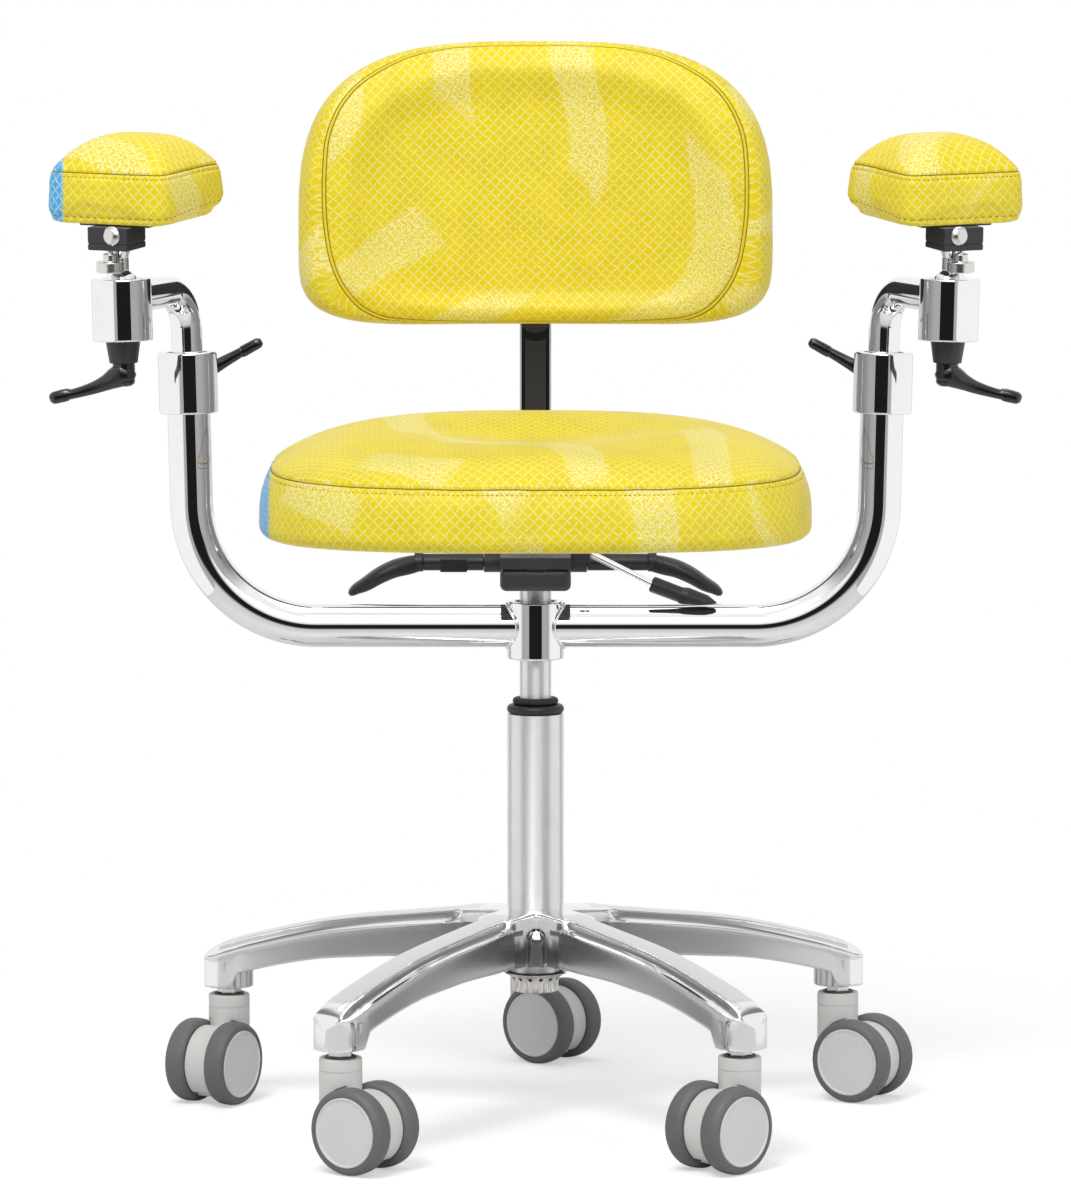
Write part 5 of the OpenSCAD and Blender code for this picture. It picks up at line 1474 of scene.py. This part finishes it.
@dataclass
class LegForm:
    """Sizes of one leg of the base, in millimetres."""

    circle: float = 290.0
    width: float = 41.0
    wall: float = 4.5
    nose: float = 22.0
    tip_bottom: float = 103.0
    tip_top: float = 145.0
    arch: float = 141.0
    hub_top: float = 188.0
    shoulder: float = 10.5
    step_in: float = 0.3

    SHARES = (
        (0.060, 1.00, 1.00, 0.95, 0, 1), (0.120, 1.00, 1.00, 0.95, 0, 1), (0.210, 0.97, 1.00, 0.93, 0, 1),
        (0.250, 0.94, 1.00, 0.92, 1, 1), (0.440, 0.79, 0.98, 0.92, 1, 1), (0.550, 0.70, 0.92, 0.93, 1, 1),
        (0.670, 0.57, 0.84, 0.95, 1, 1), (0.790, 0.39, 0.68, 0.97, 1, 1), (0.910, 0.18, 0.46, 1.00, 1, 1),
        (0.952, 0.10, 0.36, 1.00, 1, 1), (0.968, 0.06, 0.00, 1.00, 1, 0), (1.000, 0.00, 0.00, 1.00, 1, 0),
        (1.034, -0.11, 0.00, 0.96, 0.9, 0), (1.054, -0.19, 0.00, 0.86, 0.6, 0), (1.066, -0.27, 0.00, 0.70, 0, 0))

    def ring(self, share: Sequence[float]) -> np.ndarray:
        """One ring round the leg: crowned top, side flutes with a lip, set-in band and open channel."""
        r, high, low_share, wide, groove, opened = share
        half = wide * self.width / 2
        top = self.tip_top + high * (self.hub_top - self.tip_top)
        bottom = self.tip_bottom + low_share * (self.arch - self.tip_bottom)
        drop = self.shoulder * groove
        low = half - self.step_in
        inner = max(low - self.wall, low / 2)
        roof = opened * (top - bottom - 2 * self.wall - drop / 2)
        brow = half * (1 - 0.30 * groove)
        lip = top - max(drop, 3.0)
        side = [(low + 0.6 * groove, bottom), (low + 0.5 * groove, bottom + 1.2), (low - 0.9 * groove, lip - 2.0),
                (half, lip - 1.2), (half, lip), (half - 0.10 * (half - brow) - 0.6, lip + 0.5),
                (brow + 0.25 * (half - brow), lip + 0.25 * drop), (brow, lip + 0.55 * drop + 0.4),
                (brow - 0.2, top - 1.9), (brow - 1.8, top - 0.8), (0.45 * brow, top - 0.2)]
        inside = [(0.4 * inner, bottom + roof), (inner * (0.8 + 0.2 * opened), bottom + 0.8 * roof), (inner, bottom)]
        points = [(0, top)] + [(-y, z) for y, z in reversed(side)] + [(-y, z) for y, z in reversed(inside)]
        points += inside + side
        return np.array([(r * self.circle, y, z) for y, z in points]) * MM

    def rings(self) -> Rings:
        """All rings from the hub to the nose."""
        result = [self.ring(s) for s in smooth_path(self.SHARES[:10], 6)] + [self.ring(s) for s in self.SHARES[10:]]
        last = result[-1].copy()
        half = abs(last[9][1])
        high = self.tip_top - 20.0
        nose = last.copy()
        nose[:, 0] = (self.circle + self.nose) * MM
        nose[:, 1] = last[:, 1] / half * 0.6 * MM
        scale = (high - self.tip_bottom) * MM / (last[0][2] - self.tip_bottom * MM)
        nose[:, 2] = self.tip_bottom * MM + (last[:, 2] - self.tip_bottom * MM) * scale
        return result + [nose]


class Base(Assembly):
    """The cast star base and the five casters."""

    LEGS = (91.0, 163.0, 235.0, 307.0, 19.0)
    SWIVELS = (-38.0, -120.0, -35.0, -135.0, -32.0)

    def build(self) -> None:
        """Makes the casting and the wheels."""
        self._star()
        self._foot()
        self._wheels()

    def _star(self) -> None:
        """Lofted legs and bosses, and a hub melted with the legs' roots, joined into one casting."""
        form = LegForm()
        rings = form.rings()
        core = Bench.loft("core", [r for r in rings if r[0][0] < 0.090])
        rings = [r for r in rings if r[0][0] > 0.074]
        middle = rings[0].mean(axis=0)
        start = (rings[0] - middle) * [1, 0.95, 0.95] + middle - [0.004, 0, 0]
        leg = Bench.modify(Bench.loft("leg", [start, *rings]), "SUBSURF", levels=2, render_levels=2)
        boss = Bench.turned("boss", Bench.rounded([(0, 103), (20, 103), (20, 128), (0, 128)], 1.2), 64)
        Bench.place(boss, shift(form.circle - 2, 0, 0))
        melted, clean = [], []
        for angle in self.LEGS:
            for pattern, group in ((core, melted), (leg, clean), (boss, clean)):
                copy = Bench.twin(pattern, "cast")
                group.append(Bench.place(copy, turn(angle, "Z")))
        for pattern in (core, leg, boss):
            bpy.data.objects.remove(pattern)
        hub = [(0, 139.5), (35.5, 139.5), (34.6, 167), (33.4, 176), (31.5, 185.5), (27.5, 188), (0, 188)]
        melted.append(Bench.turned("hub", hub, 96))
        pillar = Bench.turned(
            "pillar", [(0, 139.5), (9.2, 139.5), (8.2, 162), (7.6, 166), (5.2, 169.2), (0, 170.4)], 48)
        melted.append(Bench.place(pillar, turn(271, "Z") @ shift(32, 0, 0)))
        star = Bench.join("base_casting", melted)
        Bench.modify(star, "REMESH", mode="VOXEL", voxel_size=0.0011)
        Bench.modify(star, "SMOOTH", factor=0.5, iterations=12)
        star = Bench.join("base_casting", [star, *clean])
        self._paint_polish_and_shade(Bench.smooth(star, 50), form)
        self.add(star, "base", "cast_alloy", Finish.CASTING, "star_base")

    def _paint_polish_and_shade(self, star: Piece, form: LegForm) -> None:
        """Marks how far each place is polished and how dark it is painted: the noses stay bright, the low bands are
        duller and darker towards the hub as painted shade, the walls darker near the hub, the ridge tops a little
        darker as painted reflection, and the hub's front dark as painted shade.
        """
        places = places_of(star) / MM
        radius = np.hypot(places[:, 0], places[:, 1])
        angle = np.degrees(np.arctan2(places[:, 1], places[:, 0]))
        upward = read(star.data.vertices, "normal", 3)[:, 2]
        stations = np.array(form.SHARES)
        top = form.tip_top + np.interp(radius / form.circle, stations[:, 0], stations[:, 1]) * (
            form.hub_top - form.tip_top)
        below = top - places[:, 2]
        off = np.min(np.abs([(angle - leg + 180) % 360 - 180 for leg in self.LEGS]), axis=0)
        beside = radius * np.sin(np.radians(np.minimum(off, 90)))
        legs = (radius > 50) & (radius < form.circle + 4)
        # Ridge tops a little darker: painted dark reflection.
        share = np.where(legs & (upward > 0.9) & (beside < 12), 0.75, 1.0)
        # Low bands: duller, and darker towards the hub as painted shade.
        low = np.clip((below - form.shoulder - 2) / 20, 0, 1)
        outward = np.clip((radius - 60) / 190, 0, 1)
        share = np.where(legs & (below > form.shoulder + 1.5), 0.10 + 0.55 * outward + 0.3 * low * (1 - outward), share)
        # Walls under the lip: darker towards the hub as painted shade.
        wall = legs & (below > 3) & (below <= form.shoulder + 1.5) & (np.abs(upward) < 0.5)
        share = np.where(wall & (beside < 16), 0.30 + 0.3 * outward, share)
        # The hub's front: painted dark, lighter towards its top as a painted highlight.
        front = (radius < 62) & (places[:, 1] < -20) & (places[:, 2] < 171) & (places[:, 2] > 140)
        rise = np.clip((places[:, 2] - 161 + 0.35 * np.abs(places[:, 0])) / 8, 0, 1)
        share = np.where(front & (upward < 0.5), 0.08 + 0.8 * rise, share)
        # Lighter lines on the pillar's edges: painted highlights.
        edges = front & (radius < 46) & (np.abs(np.abs(places[:, 0] - 0.6) - 8.2) < 1.0)
        share = np.where(edges, 0.85, share)
        layer = star.data.attributes.new("polish_and_shade", "FLOAT", "POINT")
        layer.data.foreach_set("value", share)

    def _foot(self) -> None:
        """The crimped ring under the hub, flared at its upper lip, and a dark cone inside it, painted shade for the
        shadowed gap under the hub.
        """
        outline = [(5.2, 113.2), (19.6, 113.2), (21, 114.2), (20.6, 121), (21.6, 125.6), (25.4, 128.6), (28.2, 129.8),
                   (27.6, 130.5), (24.0, 129.6), (19, 126), (18.4, 116.5), (5.2, 116.5)]
        radius, height = np.array(outline).T
        rings = []
        for angle in np.linspace(0, 2 * np.pi, 168, endpoint=False):
            fluted = radius - 0.9 * math.cos(7 * angle) ** 8 * ((radius > 20) & (radius < 24))
            rings.append(np.column_stack([fluted * math.cos(angle), fluted * math.sin(angle), height]) * MM)
        ring = Bench.smooth(Bench.loft("foot_ring_crimped", rings, True), 40)
        # A dark cone standing for the shadowed gap under the hub: painted shade.
        cap = Bench.turned("foot_shade_cone", Bench.rounded(
            [(5.4, 120), (18.2, 120), (24.6, 130.6), (5.4, 133)], 0.6), 72)
        self.add(cap, "base", "bright_steel", Finish.RUBBER)
        self.add(ring, "base", "bright_steel", Finish.BRIGHT, "column_foot_ring")

    def _wheels(self) -> None:
        """Each wheel's tread and light face, made once and copied ten times."""
        tread = [(29.6, 0.3), (33.6, 0.3), (35.9, 1.4), (37.1, 4.0), (37.5, 8.0), (37.5, 12.4), (37.0, 15.6),
                 (35.6, 18.2), (33.4, 19.4), (31.0, 19.5), (30.4, 18.6), (29.6, 18.2)]
        face = [(4.2, 0.3), (29.4, 0.3), (30.3, 1.0), (30.3, 18.9), (29.9, 19.6), (29.2, 20.0), (28.4, 19.8),
                (27.7, 19.1), (26.8, 19.0), (14, 19.35), (0, 19.45), (0, 16), (4.2, 16)]
        patterns = [(Bench.turned("tread", tread, 80, 45), "tyre", Finish.TREAD),
                    (Bench.turned("face", face, 80, 28), "disc", Finish.WHEEL_FACE)]
        for k, (leg, swivel) in enumerate(zip(self.LEGS, self.SWIVELS), 1):
            stem = turn(leg, "Z") @ shift(LegForm.circle, 0, 0) @ turn(swivel - leg, "Z")
            for side, label in ((1, "left"), (-1, "right")):
                hold = stem @ shift(26, side * 11, 37.5) @ turn(-90 * side, "X")
                for pattern, part, finish in patterns:
                    piece = Bench.twin(pattern, f"caster_{k}_{label}_{part}")
                    Bench.place(piece, hold)
                    wheel = f"caster_{k}_wheel_{label}"
                    self.add(piece, wheel, "wheel_grey", finish, wheel)
        for pattern, _, _ in patterns:
            bpy.data.objects.remove(pattern)


# Mechanism

class Mechanism(Assembly):
    """The hand levers and the lower cover of the tilt mechanism."""

    def build(self) -> None:
        """Makes the cover and the two levers."""
        self._cover()
        for side, name, body in ((1, "height", "height_lever"), (-1, "tilt", "tilt_lever")):
            self._paddle(side, name, body)

    def _cover(self) -> None:
        """The lower cover, with dark strips painted as the shade of a thin slot and two notches in its parting line."""
        box = Bench.block("mechanism_lid", (-31, -70, 477.5), (31, 40, 496.9), 5.5, 5)
        self.add(box, "lift", "mech_paint", Finish.POWDER_COAT, "mechanism_cover")
        # Dark strips painted as the shade in the slot and the notches.
        slot = Bench.block("mechanism_slot", (-6.6, -70.25, 496.3), (7.8, -68, 497.0), 0.15, 1)
        notches = [Bench.block("notch", (x - 1, -70.3, 495.6), (x + 1, -68, 497.4), 0.4, 2) for x in (-6.6, 7.8)]
        dark = Bench.join("mechanism_parting_shade", [slot, *notches])
        self.add(dark, "lift", "mech_paint", Finish.BLACK_MOULDED)

    def _paddle(self, side: int, name: str, body: str) -> None:
        """One flat curved paddle on its round shaft."""
        root = 108.0
        shaft_profile = Bench.rounded([(0, 28), (4, 28), (4, 46.2), (7.5, 46.3), (7.5, root - 8), (8.5, root - 7.4),
                                       (8.5, root), (0, root)], 0.5)
        shaft = Bench.turned("shaft", shaft_profile, 48)
        Bench.place(shaft, turn(90, "Y"))
        grip = Bench.handle("paddle", [
            [root - 6, 0, 4, 4], [root - 3.8, -0.8, 7.2, 7.4], [root + 6, -3.0, 8.2, 11.2],
            [root + 18, -6.0, 7.9, 15], [root + 31, -12, 7.3, 16.5], [root + 43, -19.5, 6.3, 15.8],
            [root + 51, -23.5, 5.0, 13.6], [root + 56, -27.0, 3.6, 10.8], [root + 58, -28.6, 1.8, 7.5]])
        parts = [shaft, grip]
        if side < 0:
            parts.append(Bench.block("clip", (61, -7.5, -8.4), (85, 7.5, 3.6), 1.0))
        lever = Bench.join(f"{name}_paddle", parts)
        Bench.place(lever, Matrix.Diagonal((side, 1, 1, 1)) @ shift(0, 45, 492))
        self.add(lever, body, "black_plastic", Finish.BLACK_MOULDED, body)


class Carried(Assembly):
    """CAD nodes that keep their shape and get a better finish."""

    GROUPS: dict[Finish, tuple[str, ...]] = {
        Finish.SATIN: ("column_outer_tube", "pressure_tube"),
        Finish.RUBBER: ("column_buffer_ring",),
        Finish.BRIGHT: ("caster_stems",),
        Finish.SEAL: ("caster_seal_rings",),
        Finish.CHROME: ("back_lever_rod",),
        Finish.POWDER_COAT: ("mechanism_body", "seat_plate"),
        Finish.BLACK_MOULDED: ("column_guide_bush", "seat_board", "back_bracket", "back_lever_grip", "yoke_bushes",
                               "right_guide_bush", "left_guide_bush"),
        Finish.CASTER_SHELL: tuple(f"caster_{k}_housing" for k in range(1, 6)),
    }

    def build(self) -> None:
        """Paints each carried node, and every other node too in case it is shown."""
        looks = {name: finish for finish, names in self.GROUPS.items() for name in names}
        for name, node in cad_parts.items():
            finish = looks.get(name, Finish.GROUND)
            node.visible_glossy = name not in ("seat_board", "seat_plate", "seat_cushion")
            if not node.material_slots:
                node.data.materials.append(None)
            for holder in node.material_slots:
                holder.material = self.paint.of(finish)


# Studio

class Studio:
    """Camera, floor, sky and lamps."""

    LENS, SENSOR = 186.0, 36.0
    EYE, DOWN = (0.0, -5.458, 1.048), 6.12
    LAMPS = (("key", (-0.9, -2.1, 3.2), 1.4, 64.0), ("top", (0.2, 0.3, 3.2), 1.8, 15.0),
             ("fill", (2.6, -2.2, 1.6), 2.0, 24.0))

    def build(self) -> None:
        """Sets up the whole studio."""
        self._camera()
        self._floor()
        self._cards()
        self._sky()
        self._lamps()
        bpy.context.scene.view_settings.view_transform = "Standard"

    def _camera(self) -> None:
        """The long lens that took the photograph, a little above the seat and looking slightly down."""
        data = bpy.data.cameras.new("camera")
        data.sensor_width = self.SENSOR
        data.lens = self.LENS
        data.clip_end = 60.0
        camera = bpy.data.objects.new("camera", data)
        camera.location = self.EYE
        camera.rotation_euler = (math.radians(90 - self.DOWN), 0.0, 0.0)
        bpy.context.scene.collection.objects.link(camera)
        bpy.context.scene.camera = camera

    @staticmethod
    def _floor() -> None:
        """A wide pale floor that the camera sees as white wherever no shadow falls; in reflections it shows a painted
        dark patch in front of the chair.
        """
        floor = Bench.from_points("studio_floor", [(-14, -14, 0), (14, -14, 0), (14, 14, 0), (-14, 14, 0)], (),
                                  [(0, 1, 2, 3)])
        material, bench = new_material("studio_floor")
        place = bench.add("ShaderNodeTexCoord").outputs["Object"]
        x, y, _ = bench.split(place)
        ray = bench.add("ShaderNodeLightPath")
        seen, mirrored = ray.outputs["Is Camera Ray"], ray.outputs["Is Glossy Ray"]
        # Where the floor stays pale in reflections; elsewhere in front of the chair glossy rays see a painted dark
        # patch.
        ahead = bench.spread(y, -2.7, -1.0, 0.04, 1.0)
        aside = bench.spread(bench.math("ABSOLUTE", x), 1.3, 2.4)
        clear_of_painted_dark = bench.math("MAXIMUM", ahead, aside)
        kept = bench.mix(mirrored, grey(0.80), bench.mix(clear_of_painted_dark, grey(0.02), grey(0.92)))
        shade = bench.add("ShaderNodeBsdfDiffuse", {"Color": kept})
        glow = bench.add("ShaderNodeEmission", {"Strength": bench.math("MULTIPLY", seen, 0.46)})
        both = bench.add("ShaderNodeAddShader", {0: shade.outputs[0], 1: glow.outputs[0]})
        white = bench.add("ShaderNodeEmission", {"Color": bench.mix(mirrored, grey(1.0), kept),
                                                 "Strength": bench.math("MULTIPLY_ADD", seen, 0.25, 0.75)})
        reach = bench.add("ShaderNodeVectorMath", {0: place}, operation="LENGTH")
        blend = bench.add("ShaderNodeMixShader", {0: bench.spread(reach.outputs["Value"], 0.42, 0.95),
                                                  1: both.outputs[0], 2: white.outputs[0]})
        bench.add("ShaderNodeOutputMaterial", {0: blend.outputs[0]})
        floor.data.materials.append(material)

    @staticmethod
    def _cards() -> None:
        """Cards that only the metal sees: a dark one in front, a bright one over it, and one on each side."""
        cards = [(name, [(x, -3.1, z) for x, z in ((left, low), (right, low), (right, high), (left, high))])
                 for name, left, right, low, high in (("front_card", -2.5, 2.0, -0.2, 1.5),
                                                      ("high_card", -0.8, 1.7, 1.9, 3.8))]
        for side, label in ((1, "right"), (-1, "left")):
            x = 0.78 * side
            cards.append((f"{label}_card", [(x, -1.6, 0), (x, 1.0, 0), (x, 1.0, 1.9), (x, -1.6, 1.9)]))
        for name, corners in cards:
            card = Bench.from_points(name, corners, (), [(0, 1, 2, 3)])
            material, bench = new_material(name)
            x, y, z = bench.split(bench.add("ShaderNodeTexCoord").outputs["Object"])
            if name == "front_card":
                edges = bench.math("MULTIPLY", bench.spread(x, -2.5, -2.4), bench.spread(x, 1.85, 2.0, 1.0, 0.0))
                mask = bench.math("MULTIPLY", edges, bench.spread(z, 0.85, 1.35, 1.0, 0.0))
                tone = bench.mix(mask, grey(0.96), (0.012, 0.011, 0.011))
            elif name == "high_card":
                tone = grey(4.0)
            else:
                far = bench.spread(bench.add("ShaderNodeLightPath").outputs["Ray Length"], 0.84, 0.98)
                edges = bench.math("MULTIPLY", bench.spread(y, 0.55, 1.0, 1.0, 0.0),
                                   bench.spread(z, 1.1, 1.8, 1.0, 0.0))
                panel = bench.mix(bench.spread(y, -0.9, 0.1), grey(0.42), grey(0.24))
                tone = bench.mix(bench.math("MULTIPLY", far, edges), grey(0.96), panel)
            glow = bench.add("ShaderNodeEmission", {"Color": tone})
            bench.add("ShaderNodeOutputMaterial", {0: glow.outputs[0]})
            card.data.materials.append(material)
            card.visible_camera = card.visible_diffuse = card.visible_shadow = card.visible_transmission = False

    @staticmethod
    def _sky() -> None:
        """White all round for the camera and softer for the light, with a grey line overhead for the metal."""
        world = bpy.data.worlds.new("studio")
        bpy.context.scene.world = world
        world.use_nodes = True
        bench = NodeBench(world.node_tree)
        height = bench.math("ARCSINE", bench.split(bench.add("ShaderNodeTexCoord").outputs["Generated"])[2])
        low, high, soft = 77, 83, 2
        line = bench.math(
            "MULTIPLY",
            bench.spread(height, math.radians(low - soft), math.radians(low + soft)),
            bench.spread(height, math.radians(high - soft), math.radians(high + soft), 1.0, 0.0))
        shade = bench.mix(line, grey(0.96), grey(0.42))
        path = bench.add("ShaderNodeLightPath").outputs
        seen = bench.mix(path["Is Glossy Ray"], grey(0.34), shade)
        back = bench.add("ShaderNodeBackground", {"Color": bench.mix(path["Is Camera Ray"], seen, grey(1.0))})
        bench.add("ShaderNodeOutputWorld", {0: back.outputs[0]})

    def _lamps(self) -> None:
        """A broad key from the upper left, a top light and a fill."""
        for name, place, size, power in self.LAMPS:
            data = bpy.data.lights.new(name, "AREA")
            data.size = size
            data.energy = power
            lamp = bpy.data.objects.new(name, data)
            lamp.location = place
            aim = Vector((0, 0, 0.6)) - Vector(place)
            lamp.rotation_euler = aim.to_track_quat("-Z", "Y").to_euler()
            lamp.visible_glossy = name != "fill"
            bpy.context.scene.collection.objects.link(lamp)


def main() -> None:
    """Builds the studio and every sub-assembly in order."""
    paint = Paint()
    Studio().build()
    Carried(paint).build()
    Base(paint).build()
    Mechanism(paint).build()
    Yoke(paint).build()
    for side in (1, -1):
        Arm(paint, side).build()
    Back(paint).build()
    Seat(paint).build()
    LOG.info("sizes written")


if __name__ == "__main__":
    main()
